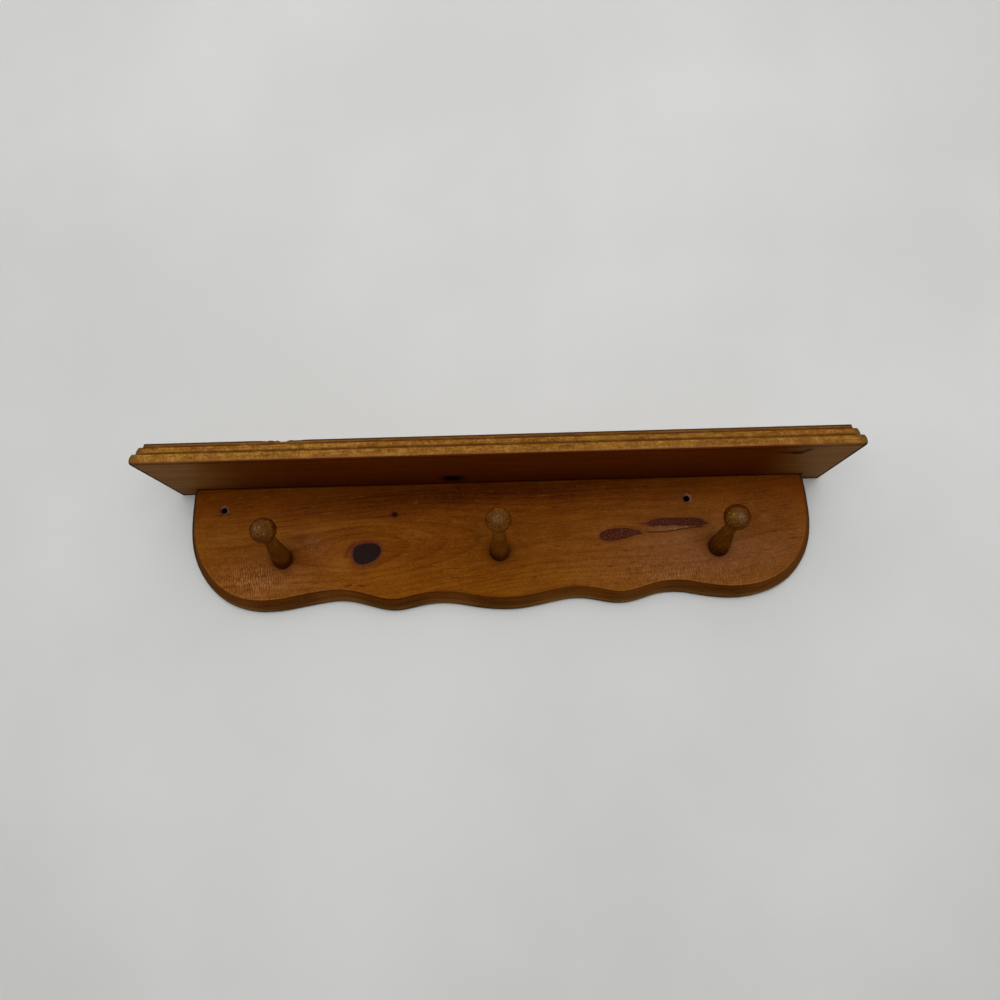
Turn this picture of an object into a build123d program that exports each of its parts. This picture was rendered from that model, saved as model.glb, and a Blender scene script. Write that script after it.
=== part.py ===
from build123d import *
import os
from math import radians, sin, cos, tan, hypot

# Shaker peg rail with shelf.
# Frame: millimetres. Y = 0 is the wall plane and the rail faces -Y, +X is to the right seen
# from the front, +Z is up. X = 0 is the middle of the shelf's length and Z = 0 is the height
# of the two wall-screw holes in the back board.

# ---------------------------------------------------------------- driving dimensions
STOCK = 19.05                 # 3/4 in dressed pine, both boards
SHELF_LENGTH = 571.5          # 22 1/2 in over the moulding
SHELF_DEPTH = 101.6           # 4 in from the wall to the front of the moulding
SHELF_BACK_CORNER_R = 2.0
SHELF_UNDERSIDE = 19.5        # height of the shelf's underside above the screw holes
SHELF_TOP = SHELF_UNDERSIDE + STOCK

# moulding run on the front and both ends of the shelf: (set-in from the edge, height above
# the underside). A bead at the bottom, an ovolo, and a small square at the top.
BEAD_LOW = (0.90, 0.00)
BEAD_LOW_MID = (0.22, 1.15)
BEAD_WIDEST = (0.00, 2.80)
BEAD_HIGH_MID = (0.30, 5.60)
BEAD_HIGH = (1.30, 8.45)
OVOLO_LOW = (3.30, 9.20)
OVOLO_MID = (3.70, 12.20)
OVOLO_HIGH = (4.75, 14.95)
SQUARE_LOW = (6.85, 15.75)
SQUARE_HIGH = (7.35, 18.45)
SQUARE_ROUND = (7.55, 18.88)
SQUARE_TOP = (7.95, STOCK)

# back board: scalloped outline (x, height below the shelf's underside), from the left end of
# the joint, down the left side, along the lower edge and up the right side
OUTLINE = [
    (-272.2, 0.0), (-272.7, -9.9), (-273.0, -20.9), (-272.8, -33.1), (-270.7, -49.4),
    (-265.4, -65.3), (-257.1, -79.5), (-245.9, -91.6), (-232.1, -100.6), (-217.0, -105.5),
    (-201.0, -106.9), (-184.9, -105.6), (-168.8, -102.8), (-152.7, -100.2), (-139.0, -99.1),
    (-127.0, -100.5), (-115.0, -103.5), (-102.5, -106.9), (-91.5, -108.3), (-81.0, -107.2),
    (-69.0, -104.7), (-57.0, -103.1), (-45.0, -103.2), (-33.0, -104.8), (-20.0, -107.2),
    (-7.0, -108.9), (7.0, -109.5), (20.0, -108.6), (32.0, -106.6), (44.0, -104.2),
    (55.5, -102.2), (67.0, -101.5), (78.0, -102.7), (91.0, -105.3), (103.0, -106.5),
    (114.0, -105.0), (125.0, -101.9), (136.0, -99.0), (146.5, -98.1), (158.0, -98.8),
    (170.0, -101.0), (183.5, -103.2), (199.7, -104.3), (215.5, -102.8), (231.2, -98.4),
    (245.1, -90.8), (256.7, -79.6), (265.4, -65.5), (270.4, -49.3), (271.9, -33.0),
    (271.6, -19.8), (270.8, -8.7), (269.9, 0.0),
]
EDGE_BEVEL_IN = 8.2           # steep bevel along the sides and the lower edge: set-in on the face
EDGE_BEVEL_DEPTH = 14.4       # and its depth from the face, leaving a narrow square edge at the wall

# two holes for wall screws, countersunk from the front
WALL_HOLE_R = 2.4
WALL_HOLE_SPACING = 403.2     # 15 7/8 in
WALL_HOLE_CENTRE_X = -38.5
WALL_CSK_R = 4.2

# pegs: x of the shank's centre on the board's face, its height, upward tilt and sideways turn
PEGS = {
    "peg_left": (-186.5, -44.2, 13.4, 0.7),
    "peg_center": (0.0, -42.1, 14.9, 0.4),
    "peg_right": (186.5, -42.8, 12.7, 1.1),
}
TENON_R = 6.35                # 1/2 in tenon
TENON_LENGTH = 16.0
TENON_GLUE_LINE = 0.05
SHANK_FOOT_R = 8.45
# shank, neck and mushroom head: (distance from the board's face along the axis, radius)
SHANK = [(0.0, 8.45), (4.0, 8.40), (9.0, 8.05), (17.0, 7.20), (26.0, 6.25), (35.0, 5.45),
         (44.0, 4.85), (50.5, 4.60)]
HEAD_UNDER = [(50.5, 4.60), (52.6, 5.20), (53.9, 6.90), (55.2, 8.70), (57.2, 10.00)]
HEAD_DOME = [(57.2, 10.00), (59.8, 10.50), (62.6, 10.05), (65.2, 8.60), (67.1, 6.20),
             (68.1, 3.30), (68.4, 0.0)]

# three flat-head wood screws down through the shelf into the back board's top edge, under plugs
SCREW_X = (-200.0, 0.0, 200.0)
SCREW_Y = -STOCK / 2
SCREW_LENGTH = 38.1           # no. 8 x 1 1/2 in
SCREW_SHANK_R = 2.1
SCREW_ROOT_R = 1.45
SCREW_HEAD_R = 4.15
SCREW_HEAD_H = 2.36
SCREW_HEAD_RIM = 0.3
SCREW_PITCH = 2.8
SCREW_PLAIN = 12.7
SCREW_CLEARANCE = 0.05
PLUG_R = 4.7625               # 3/8 in face-grain plug
COUNTERBORE_R = 4.81
COUNTERBORE_DEPTH = 6.35
PLUG_GAP = 0.1
PLUG_EASE = 0.25


# ---------------------------------------------------------------- helpers
def ruled_face(points_and_arcs):
    """Closed planar face from a chain of (start, end) lines and (start, middle, end) arcs."""
    edges = []
    for step in points_and_arcs:
        if len(step) == 2:
            edges.append(Edge.make_line(step[0], step[1]))
        else:
            edges.append(Edge.make_three_point_arc(*step))
    return Face(Wire(edges))


def moulding_chain(place):
    """The moulding from the underside up to the top face, through place(set_in, height)."""
    p = place
    return [
        (p(*BEAD_LOW), p(*BEAD_LOW_MID), p(*BEAD_WIDEST)),
        (p(*BEAD_WIDEST), p(*BEAD_HIGH_MID), p(*BEAD_HIGH)),
        (p(*BEAD_HIGH), p(*OVOLO_LOW)),
        (p(*OVOLO_LOW), p(*OVOLO_MID), p(*OVOLO_HIGH)),
        (p(*OVOLO_HIGH), p(*SQUARE_LOW)),
        (p(*SQUARE_LOW), p(*SQUARE_HIGH)),
        (p(*SQUARE_HIGH), p(*SQUARE_ROUND), p(*SQUARE_TOP)),
    ]


def backwards(chain):
    return [tuple(reversed(step)) for step in reversed(chain)]


def rod(x, y, z0, z1, r):
    """Upright cylinder between two heights."""
    return Pos(x, y, (z0 + z1) / 2) * Cylinder(r, abs(z1 - z0))


# ---------------------------------------------------------------- shelf board
X_END = SHELF_LENGTH / 2
front = lambda s, h: (-X_END - 5, -SHELF_DEPTH + s, SHELF_UNDERSIDE + h)
chain = moulding_chain(front)
back_low = (-X_END - 5, 0, SHELF_UNDERSIDE)
back_high = (-X_END - 5, 0, SHELF_TOP)
section_front = ruled_face(
    [(back_low, chain[0][0])] + chain + [(chain[-1][-1], back_high), (back_high, back_low)]
)
run_front = extrude(section_front, amount=SHELF_LENGTH + 10, dir=(1, 0, 0))

left = moulding_chain(lambda s, h: (-X_END + s, 5, SHELF_UNDERSIDE + h))
right = moulding_chain(lambda s, h: (X_END - s, 5, SHELF_UNDERSIDE + h))
section_ends = ruled_face(
    left
    + [(left[-1][-1], right[-1][-1])]
    + backwards(right)
    + [(right[0][0], left[0][0])]
)
run_ends = extrude(section_ends, amount=SHELF_DEPTH + 10, dir=(0, -1, 0))

r = SHELF_BACK_CORNER_R
k = r * (1 - cos(radians(45)))
z_plan = SHELF_UNDERSIDE - 5
plan = ruled_face([
    ((-X_END, -SHELF_DEPTH, z_plan), (X_END, -SHELF_DEPTH, z_plan)),
    ((X_END, -SHELF_DEPTH, z_plan), (X_END, -r, z_plan)),
    ((X_END, -r, z_plan), (X_END - k, -k, z_plan), (X_END - r, 0, z_plan)),
    ((X_END - r, 0, z_plan), (-X_END + r, 0, z_plan)),
    ((-X_END + r, 0, z_plan), (-X_END + k, -k, z_plan), (-X_END, -r, z_plan)),
    ((-X_END, -r, z_plan), (-X_END, -SHELF_DEPTH, z_plan)),
])
plan_block = extrude(plan, amount=STOCK + 10, dir=(0, 0, 1))

shelf = run_front & run_ends & plan_block

# counterbore, countersink and clearance hole for each shelf screw
HEAD_SEAT = SHELF_TOP - COUNTERBORE_DEPTH
for x in SCREW_X:
    shelf -= rod(x, SCREW_Y, HEAD_SEAT, SHELF_TOP + 1, COUNTERBORE_R)
    shelf -= rod(x, SCREW_Y, HEAD_SEAT - SCREW_HEAD_RIM, HEAD_SEAT + 1, SCREW_HEAD_R + SCREW_CLEARANCE)
    sink_h = SCREW_HEAD_H - SCREW_HEAD_RIM
    sink = Cone(SCREW_SHANK_R + SCREW_CLEARANCE, SCREW_HEAD_R + SCREW_CLEARANCE, sink_h)
    shelf -= Pos(x, SCREW_Y, HEAD_SEAT - SCREW_HEAD_RIM - sink_h / 2) * sink
    shelf -= rod(x, SCREW_Y, SHELF_UNDERSIDE - 1, HEAD_SEAT - 0.5, SCREW_SHANK_R + SCREW_CLEARANCE)

# ---------------------------------------------------------------- back board
outer_pts = [(x, 0.0, SHELF_UNDERSIDE + z) for x, z in OUTLINE]
outer = Edge.make_spline([Vector(*p) for p in outer_pts])
outer_face = Face(Wire([outer, Edge.make_line(outer_pts[-1], outer_pts[0])]))
board = extrude(outer_face, amount=STOCK, dir=(0, -1, 0))

# steep bevel on the front of the curved edge only; the straight top edge stays square
front = board.faces().sort_by(Axis.Y)[0]
curved = [e for e in front.edges() if e.geom_type != GeomType.LINE and e.length > SHELF_LENGTH]
board = chamfer(curved, length=EDGE_BEVEL_IN, length2=EDGE_BEVEL_DEPTH, reference=front)

# wall-screw holes
for side in (-1, 1):
    x = WALL_HOLE_CENTRE_X + side * WALL_HOLE_SPACING / 2
    bore = Rot(90, 0, 0) * Cylinder(WALL_HOLE_R, 3 * STOCK)
    board -= Pos(x, 0, 0) * bore
    depth = WALL_CSK_R - WALL_HOLE_R
    csk = Cone(WALL_HOLE_R, WALL_CSK_R + 0.5, depth + 0.5)
    board -= Pos(x, -STOCK + depth - (depth + 0.5) / 2, 0) * Rot(90, 0, 0) * csk

# pilot holes in the top edge for the shelf screws
SCREW_TIP = HEAD_SEAT - SCREW_LENGTH
for x in SCREW_X:
    board -= rod(x, SCREW_Y, SCREW_TIP - 1.0, SHELF_UNDERSIDE + 1, SCREW_SHANK_R + SCREW_CLEARANCE)

# ---------------------------------------------------------------- pegs
parts = {}
for name, (x, z, tilt, turn) in PEGS.items():
    ct, st = cos(radians(tilt)), sin(radians(tilt))
    axis = Vector(ct * sin(radians(turn)), -ct * cos(radians(turn)), st)
    seat = Plane(origin=(x, -STOCK, z), x_dir=(cos(radians(turn)), sin(radians(turn)), 0), z_dir=axis)

    hole = Pos(0, 0, -STOCK) * Cylinder(TENON_R + TENON_GLUE_LINE, 4 * STOCK)
    board -= seat * hole

    reach = SHANK_FOOT_R * tan(radians(tilt)) + 1.5
    pt = lambda s, rr: (rr, 0, s)
    profile = [
        Edge.make_line(pt(-reach, 0), pt(-reach, SHANK_FOOT_R)),
        Edge.make_line(pt(-reach, SHANK_FOOT_R), pt(*SHANK[0])),
        Edge.make_spline([Vector(*pt(*q)) for q in SHANK]),
        Edge.make_spline([Vector(*pt(*q)) for q in HEAD_UNDER]),
        Edge.make_spline([Vector(*pt(*q)) for q in HEAD_DOME],
                         tangents=[Vector(0.45, 0, 1), Vector(-1, 0, 0)]),
        Edge.make_line(pt(*HEAD_DOME[-1]), pt(-reach, 0)),
    ]
    body = revolve(Face(Wire(profile)), axis=Axis.Z, revolution_arc=360)
    body = seat * body
    # the foot is cut to sit flat on the board's face
    body -= Pos(x, -STOCK + 20, z) * Box(60, 40, 60)
    tenon = Pos(0, 0, -TENON_LENGTH / 2 + 2.5) * Cylinder(TENON_R, TENON_LENGTH + 5)
    tenon = chamfer(tenon.faces().sort_by(Axis.Z)[0].edges(), 0.8)
    parts[name] = body + seat * tenon

# ---------------------------------------------------------------- shelf screws and plugs
screws = []
plugs = []
for x in SCREW_X:
    z_top = HEAD_SEAT
    z_shank = z_top - SCREW_HEAD_H
    z_thread = z_top - SCREW_PLAIN
    tip_length = 5.0
    pts = [(0, z_top), (SCREW_HEAD_R, z_top), (SCREW_HEAD_R, z_top - SCREW_HEAD_RIM),
           (SCREW_SHANK_R, z_shank), (SCREW_SHANK_R, z_thread)]
    zz = z_thread
    while zz - SCREW_PITCH > SCREW_TIP + tip_length:
        pts += [(SCREW_ROOT_R, zz - 0.35), (SCREW_ROOT_R, zz - SCREW_PITCH + 0.75),
                (SCREW_SHANK_R, zz - SCREW_PITCH)]
        zz -= SCREW_PITCH
    pts += [(SCREW_ROOT_R, zz - 0.35), (SCREW_ROOT_R, SCREW_TIP + tip_length), (0.05, SCREW_TIP),
            (0, SCREW_TIP)]
    outline = [Edge.make_line((a[0], 0, a[1]), (b[0], 0, b[1])) for a, b in zip(pts, pts[1:] + pts[:1])]
    screw = revolve(Face(Wire(outline)), axis=Axis.Z, revolution_arc=360)
    # cross recess
    for turn in (0, 90):
        slot = Pos(0, 0, z_top - 0.9) * Rot(0, 0, turn) * Box(4.6, 1.0, 1.9)
        screw -= slot
    screws.append(Pos(x, SCREW_Y, 0) * screw)

    z_low = HEAD_SEAT + PLUG_GAP
    plug = Pos(x, SCREW_Y, (z_low + SHELF_TOP) / 2) * Cylinder(PLUG_R, SHELF_TOP - z_low)
    plug = chamfer(plug.faces().sort_by(Axis.Z)[-1].edges(), PLUG_EASE)
    plugs.append(plug)

parts["shelf_board"] = shelf
parts["back_board"] = board
parts["shelf_screws"] = Compound(children=[s.solid() for s in screws])
parts["screw_plugs"] = Compound(children=[p.solid() for p in plugs])

# ---------------------------------------------------------------- output
os.makedirs("parts", exist_ok=True)
for name, shape in parts.items():
    if name in ("shelf_screws", "screw_plugs"):
        out = shape
    else:
        out = shape.solid()
    export_step(out, f"parts/{name}.step")
    box = out.bounding_box()
    print(f"{name}: volume {out.volume:.0f} mm3, x {box.min.X:.2f}..{box.max.X:.2f}, "
          f"y {box.min.Y:.2f}..{box.max.Y:.2f}, z {box.min.Z:.2f}..{box.max.Z:.2f}")
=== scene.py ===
import math

import bmesh
import bpy
import numpy as np
from mathutils import Matrix, Vector
from mathutils.geometry import delaunay_2d_cdt


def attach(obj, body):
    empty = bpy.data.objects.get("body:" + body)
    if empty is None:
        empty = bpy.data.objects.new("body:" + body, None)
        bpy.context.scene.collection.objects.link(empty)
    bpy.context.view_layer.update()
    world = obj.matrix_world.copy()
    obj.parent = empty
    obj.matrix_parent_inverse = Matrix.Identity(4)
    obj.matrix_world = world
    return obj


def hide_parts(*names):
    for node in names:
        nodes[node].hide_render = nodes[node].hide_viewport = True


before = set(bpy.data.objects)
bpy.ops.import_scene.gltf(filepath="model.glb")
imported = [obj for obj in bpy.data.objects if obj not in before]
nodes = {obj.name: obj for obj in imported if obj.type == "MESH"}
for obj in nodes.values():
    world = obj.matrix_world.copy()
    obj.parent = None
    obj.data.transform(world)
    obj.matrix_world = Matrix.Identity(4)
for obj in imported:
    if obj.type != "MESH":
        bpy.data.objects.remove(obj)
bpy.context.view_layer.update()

# Shaker peg rail with shelf. Metres, wall plane y = 0, the rail faces -Y, +Z up.
# The boards and pegs are rebuilt here as fine meshes of the same size and place, with worn
# edges, and each vertex carries the wood's own coordinates, so that the growth rings run
# through the piece in 3-D, bend round the knots and meet over every edge.

MM = 0.001
rng = np.random.default_rng(7)

# ------------------------------------------------------------------ sizes (mm)
STOCK = 19.05
SHELF_LENGTH = 571.5
SHELF_DEPTH = 101.6
SHELF_LOW = 19.5
SHELF_TOP = SHELF_LOW + STOCK
X_END = SHELF_LENGTH / 2

OUTLINE = np.array([
    (-272.2, 0.0), (-272.7, -9.9), (-273.0, -20.9), (-272.8, -33.1), (-270.7, -49.4),
    (-265.4, -65.3), (-257.1, -79.5), (-245.9, -91.6), (-232.1, -100.6), (-217.0, -105.5),
    (-201.0, -106.9), (-184.9, -105.6), (-168.8, -102.8), (-152.7, -100.2), (-139.0, -99.1),
    (-127.0, -100.5), (-115.0, -103.5), (-102.5, -106.9), (-91.5, -108.3), (-81.0, -107.2),
    (-69.0, -104.7), (-57.0, -103.1), (-45.0, -103.2), (-33.0, -104.8), (-20.0, -107.2),
    (-7.0, -108.9), (7.0, -109.5), (20.0, -108.6), (32.0, -106.6), (44.0, -104.2),
    (55.5, -102.2), (67.0, -101.5), (78.0, -102.7), (91.0, -105.3), (103.0, -106.5),
    (114.0, -105.0), (125.0, -101.9), (136.0, -99.0), (146.5, -98.1), (158.0, -98.8),
    (170.0, -101.0), (183.5, -103.2), (199.7, -104.3), (215.5, -102.8), (231.2, -98.4),
    (245.1, -90.8), (256.7, -79.6), (265.4, -65.5), (270.4, -49.3), (271.9, -33.0),
    (271.6, -19.8), (270.8, -8.7), (269.9, 0.0),
])
PEGS = {
    "peg_left": (-186.5, -44.2, 13.4, 0.7),
    "peg_center": (0.0, -42.1, 14.9, 0.4),
    "peg_right": (186.5, -42.8, 12.7, 1.1),
}
HOLE_X = (-240.1, 163.1)
SCREW_X = (-200.0, 0.0, 200.0)
SCREW_Y = -STOCK / 2


# ------------------------------------------------------------------ curves and noise
def spline(points):
    """Natural cubic spline through points by chord length: f(t in 0..1) -> places, directions."""
    p = np.asarray(points, float)
    t = np.r_[0, np.cumsum(np.linalg.norm(np.diff(p, axis=0), axis=1))]
    n, h = len(p), np.diff(t)
    a = np.zeros((n, n))
    b = np.zeros((n, p.shape[1]))
    a[0, 0] = a[-1, -1] = 1
    for i in range(1, n - 1):
        a[i, i - 1:i + 2] = h[i - 1], 2 * (h[i - 1] + h[i]), h[i]
        b[i] = 6 * ((p[i + 1] - p[i]) / h[i] - (p[i] - p[i - 1]) / h[i - 1])
    m = np.linalg.solve(a, b)

    def at(s):
        s = np.clip(np.asarray(s, float), 0, 1) * t[-1]
        i = np.clip(np.searchsorted(t, s, side="right") - 1, 0, n - 2)
        u, v, w = (s - t[i])[:, None], (t[i + 1] - s)[:, None], h[i][:, None]
        q = (m[i] * v**3 + m[i + 1] * u**3) / (6 * w) + (p[i] / w - m[i] * w / 6) * v \
            + (p[i + 1] / w - m[i + 1] * w / 6) * u
        d = (-m[i] * v**2 + m[i + 1] * u**2) / (2 * w) - (p[i] / w - m[i] * w / 6) \
            + (p[i + 1] / w - m[i + 1] * w / 6)
        return q, d / np.linalg.norm(d, axis=1)[:, None]

    at.length = t[-1]
    return at


def arc3(a, b, c, n):
    """n + 1 points on the circle through a, b and c, from a to c."""
    ax, ay, bx, by, cx, cy = *a, *b, *c
    d = 2 * (ax * (by - cy) + bx * (cy - ay) + cx * (ay - by))
    ux = ((ax**2 + ay**2) * (by - cy) + (bx**2 + by**2) * (cy - ay) + (cx**2 + cy**2) * (ay - by)) / d
    uy = ((ax**2 + ay**2) * (cx - bx) + (bx**2 + by**2) * (ax - cx) + (cx**2 + cy**2) * (bx - ax)) / d
    r = math.hypot(ax - ux, ay - uy)
    t0, t1, t2 = (math.atan2(q[1] - uy, q[0] - ux) for q in (a, b, c))
    turn = (t2 - t0) % (2 * math.pi)
    if (t1 - t0) % (2 * math.pi) > turn:
        turn -= 2 * math.pi
    return [(ux + r * math.cos(t0 + turn * k / n), uy + r * math.sin(t0 + turn * k / n)) for k in range(n + 1)]


def waves(seed, low, high, count=14, dims=1):
    """Smooth random field of count sine waves with lengths between low and high; about -1 to 1."""
    g = np.random.default_rng(seed)
    lam = np.exp(g.uniform(math.log(low), math.log(high), count))
    way = g.normal(size=(count, dims))
    way /= np.linalg.norm(way, axis=1)[:, None]
    k = way * (2 * math.pi / lam)[:, None]
    ph = g.uniform(0, 2 * math.pi, count)
    am = lam / lam.sum() * 0.5 + 0.5 / count

    def f(x):
        x = np.asarray(x, float).reshape(-1, dims)
        return np.sin(x @ k.T + ph) @ am * 1.6

    return f


def smooth(a, b, x):
    t = np.clip((np.asarray(x, float) - a) / (b - a), 0, 1)
    return t * t * (3 - 2 * t)


# ------------------------------------------------------------------ mesh building
class Shell:
    """Patches of one closed piece, in mm. Patches share border points, which are welded."""

    def __init__(self):
        self.v, self.f, self.uv, self.n = [], [], [], 0

    def add(self, verts, faces, flat, rect):
        verts, flat = np.asarray(verts, float), np.asarray(flat, float)
        lo, hi = flat.min(0), flat.max(0)
        x0, y0, x1, y1 = rect
        uv = (flat - lo) / np.maximum(hi - lo, 1e-9) * [x1 - x0, y1 - y0] + [x0, y0]
        self.v.append(verts)
        self.uv.append(uv)
        self.f += [tuple(int(i) + self.n for i in f) for f in faces]
        self.n += len(verts)

    def grid(self, rows, rect, flat=None, closed=False):
        """rows: array (m, n, 3). Quads between neighbours; closed joins the last column to the first."""
        rows = np.asarray(rows, float)
        m, n = rows.shape[:2]
        if closed:
            rows = np.concatenate([rows, rows[:, :1]], 1)
            n += 1
        if flat is None:
            du = np.r_[0, np.cumsum(np.linalg.norm(np.diff(rows[m // 2], axis=0), axis=1))]
            dv = np.r_[0, np.cumsum(np.linalg.norm(np.diff(rows, axis=0), axis=2).mean(1))]
            flat = np.stack(np.meshgrid(du, dv), -1)
        idx = np.arange(m * n).reshape(m, n)
        quads = np.stack([idx[:-1, :-1], idx[:-1, 1:], idx[1:, 1:], idx[1:, :-1]], -1).reshape(-1, 4)
        self.add(rows.reshape(-1, 3), quads, np.asarray(flat).reshape(-1, 2), rect)

    def flat_face(self, outer, holes, place, rect, step, extra=(), keep_off=0.9):
        """Fills a flat outline with holes. outer and holes are 2-D loops; place turns them into 3-D."""
        outer = np.asarray(outer, float)
        holes = [np.asarray(h, float) for h in holes]
        lo, hi = outer.min(0), outer.max(0)
        gx = np.arange(lo[0] + step / 2, hi[0], step)
        gy = np.arange(lo[1] + step / 2, hi[1], step)
        pts = np.stack(np.meshgrid(gx, gy), -1).reshape(-1, 2)
        pts[:, 0] += (np.round((pts[:, 1] - gy[0]) / step) % 2) * step / 2  # staggered rows
        for cx, cy, rx, ry, fine in extra:
            ex = np.arange(cx - rx, cx + rx, fine)
            ey = np.arange(cy - ry, cy + ry, fine)
            more = np.stack(np.meshgrid(ex, ey), -1).reshape(-1, 2)
            more[:, 0] += (np.round((more[:, 1] - ey[0]) / fine) % 2) * fine / 2
            inside = ((more - [cx, cy]) / [rx, ry]) ** 2
            more = more[inside.sum(1) < 1]
            away = ((pts - [cx, cy]) / [rx + step * 0.5, ry + step * 0.5]) ** 2
            pts = np.r_[pts[away.sum(1) > 1], more]
        ok = in_loop(pts, outer)
        for h in holes:
            ok &= ~in_loop(pts, h)
        pts = pts[ok]
        for loop in [outer, *holes]:
            pts = pts[far_from(pts, loop, keep_off)]
        verts, edges = [], []
        for loop in [outer, *holes]:
            k = len(verts)
            verts += [Vector(p) for p in loop]
            edges += [(k + i, k + (i + 1) % len(loop)) for i in range(len(loop))]
        verts += [Vector(p) for p in pts]
        out_v, _, out_f, *_ = delaunay_2d_cdt(verts, edges, [], 0, 1e-6)
        q = np.array([tuple(p) for p in out_v])
        tri = np.array([tuple(t) for t in out_f])
        c = q[tri].mean(1)
        keep = in_loop(c, outer)
        for h in holes:
            keep &= ~in_loop(c, h)
        self.add(place(q), tri[keep], q, rect)

    def mesh(self, name):
        v = np.concatenate(self.v) * MM
        uv = np.concatenate(self.uv)
        key = np.round(v / 2e-7).astype(np.int64)
        _, first, back = np.unique(key, axis=0, return_index=True, return_inverse=True)
        back = np.asarray(back).reshape(-1)
        faces, corners = [], []
        for f in self.f:
            g = [int(back[i]) for i in f]
            own = [k for k in range(len(g)) if g[k] != g[k - 1]]
            if len({g[k] for k in own}) < 3:
                continue
            faces.append([g[k] for k in own])
            corners += [f[k] for k in own]
        me = bpy.data.meshes.new(name)
        me.from_pydata(v[first].tolist(), [], faces)
        layer = me.uv_layers.new(name="OFBake")
        layer.uv.foreach_set("vector", uv[corners].astype(np.float32).ravel())
        me.update()
        bm = bmesh.new()
        bm.from_mesh(me)
        bmesh.ops.remove_doubles(bm, verts=bm.verts, dist=1e-6)
        bmesh.ops.recalc_face_normals(bm, faces=bm.faces)
        open_edges = sum(len(e.link_faces) != 2 for e in bm.edges)
        volume = bm.calc_volume()
        if volume < 0:
            bmesh.ops.reverse_faces(bm, faces=bm.faces)
        bm.to_mesh(me)
        bm.free()
        print(f"{name}: {len(me.vertices)} vertices, {len(me.polygons)} faces, {open_edges} open edges, {abs(volume) * 1e9:.0f} mm3")
        return me


def in_loop(p, loop):
    x, y = p[:, 0], p[:, 1]
    inside = np.zeros(len(p), bool)
    a, b = loop, np.roll(loop, -1, 0)
    for (ax, ay), (bx, by) in zip(a, b):
        if ay == by:
            continue
        cross = (ay > y) != (by > y)
        inside ^= cross & (x < (bx - ax) * (y - ay) / (by - ay) + ax)
    return inside


def far_from(p, loop, d):
    ok = np.ones(len(p), bool)
    a, b = loop, np.roll(loop, -1, 0)
    for s in range(0, len(a), 64):
        aa, bb = a[s:s + 64], b[s:s + 64]
        ab = bb - aa
        ap = p[:, None] - aa[None]
        t = np.clip((ap * ab).sum(2) / np.maximum((ab * ab).sum(1), 1e-12), 0, 1)
        near = np.linalg.norm(ap - ab * t[..., None], axis=2).min(1)
        ok &= near > d
    return ok


def attribute(me, name, values):
    values = np.asarray(values, np.float32)
    if values.ndim == 2:
        at = me.attributes.new(name, "FLOAT_VECTOR", "POINT")
        at.data.foreach_set("vector", values.ravel())
    else:
        at = me.attributes.new(name, "FLOAT", "POINT")
        at.data.foreach_set("value", values)


def places(me):
    co = np.empty(len(me.vertices) * 3, np.float32)
    me.vertices.foreach_get("co", co)
    return co.reshape(-1, 3).astype(float) / MM


def normals(me):
    no = np.empty(len(me.vertices) * 3, np.float32)
    me.vertex_normals.foreach_get("vector", no)
    return no.reshape(-1, 3).astype(float)


def put(me, name, node, material, sharp=38):
    me.shade_smooth()
    me.set_sharp_from_angle(angle=math.radians(sharp))
    ob = bpy.data.objects.new(name, me)
    bpy.context.scene.collection.objects.link(ob)
    me.materials.append(material)
    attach(ob, "root")
    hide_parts(node)
    return ob


# ------------------------------------------------------------------ back board
# knots and flaws on the front face: outlines in x, z
KNOT_BIG = [(-126.6, -42.2), (-125.7, -36.2), (-121.8, -33.5), (-116.4, -32.1), (-110.4, -32.0), (-105.5, -33.0),
            (-102.5, -35.9), (-101.6, -39.4), (-103.4, -43.8), (-106.8, -47.2), (-111.7, -49.6), (-117.1, -50.9),
            (-122.0, -50.1), (-125.5, -47.2)]
BIG_AT = (-114.0, -41.3)
PIN_AT = (-90.5, -7.6)
SPIKE_A = [(85.4, -31.0), (87.5, -28.3), (91.8, -26.1), (97.2, -25.0), (103.4, -24.6), (110.2, -24.9), (116.3, -26.1),
           (120.0, -27.8), (123.7, -30.2), (119.1, -30.7), (114.4, -31.8), (109.7, -33.2), (104.3, -34.6),
           (98.9, -35.5), (92.8, -35.6), (89.0, -35.0), (86.4, -33.4)]
SPIKE_B = [(121.2, -21.3), (127.4, -20.6), (131.3, -18.5), (136.8, -17.1), (144.5, -16.7), (151.4, -17.1),
           (158.3, -17.1), (165.2, -16.9), (172.0, -17.9), (175.7, -19.3), (177.5, -21.4), (181.2, -22.7),
           (176.5, -23.3), (172.2, -24.5), (168.4, -24.4), (163.8, -24.5), (159.3, -23.8), (154.7, -24.3),
           (149.4, -23.1), (144.0, -24.1), (137.9, -23.3), (133.3, -24.1), (129.5, -23.4), (127.3, -22.0)]
CHALKY = [(128.0, -22.0), (133.3, -22.5), (144.0, -22.4), (154.7, -22.7), (166.2, -23.0), (172.2, -24.0),
          (166.0, -25.7), (158.3, -26.5), (150.6, -28.1), (142.9, -28.7), (136.0, -29.1), (126.9, -28.4)]
SHAKE = [(123.8, -28.5), (131.4, -29.0), (139.1, -28.9), (145.2, -28.5), (151.4, -27.8), (157.5, -26.8),
         (163.7, -26.1), (169.9, -25.5), (178.3, -25.1)]
CRACK = [(-125.0, -32.6), (-128.6, -35.2), (-130.4, -38.1), (-131.6, -41.0), (-131.9, -43.6)]
PALE_BAND = [(-262.0, -27.0), (-225.0, -24.0), (-195.6, -20.5), (-170.7, -20.7), (-149.1, -17.5), (-128.9, -14.6),
             (-115.0, -13.4), (-96.4, -15.0), (-77.7, -20.0), (-60.0, -27.5), (-48.0, -34.0)]


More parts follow.
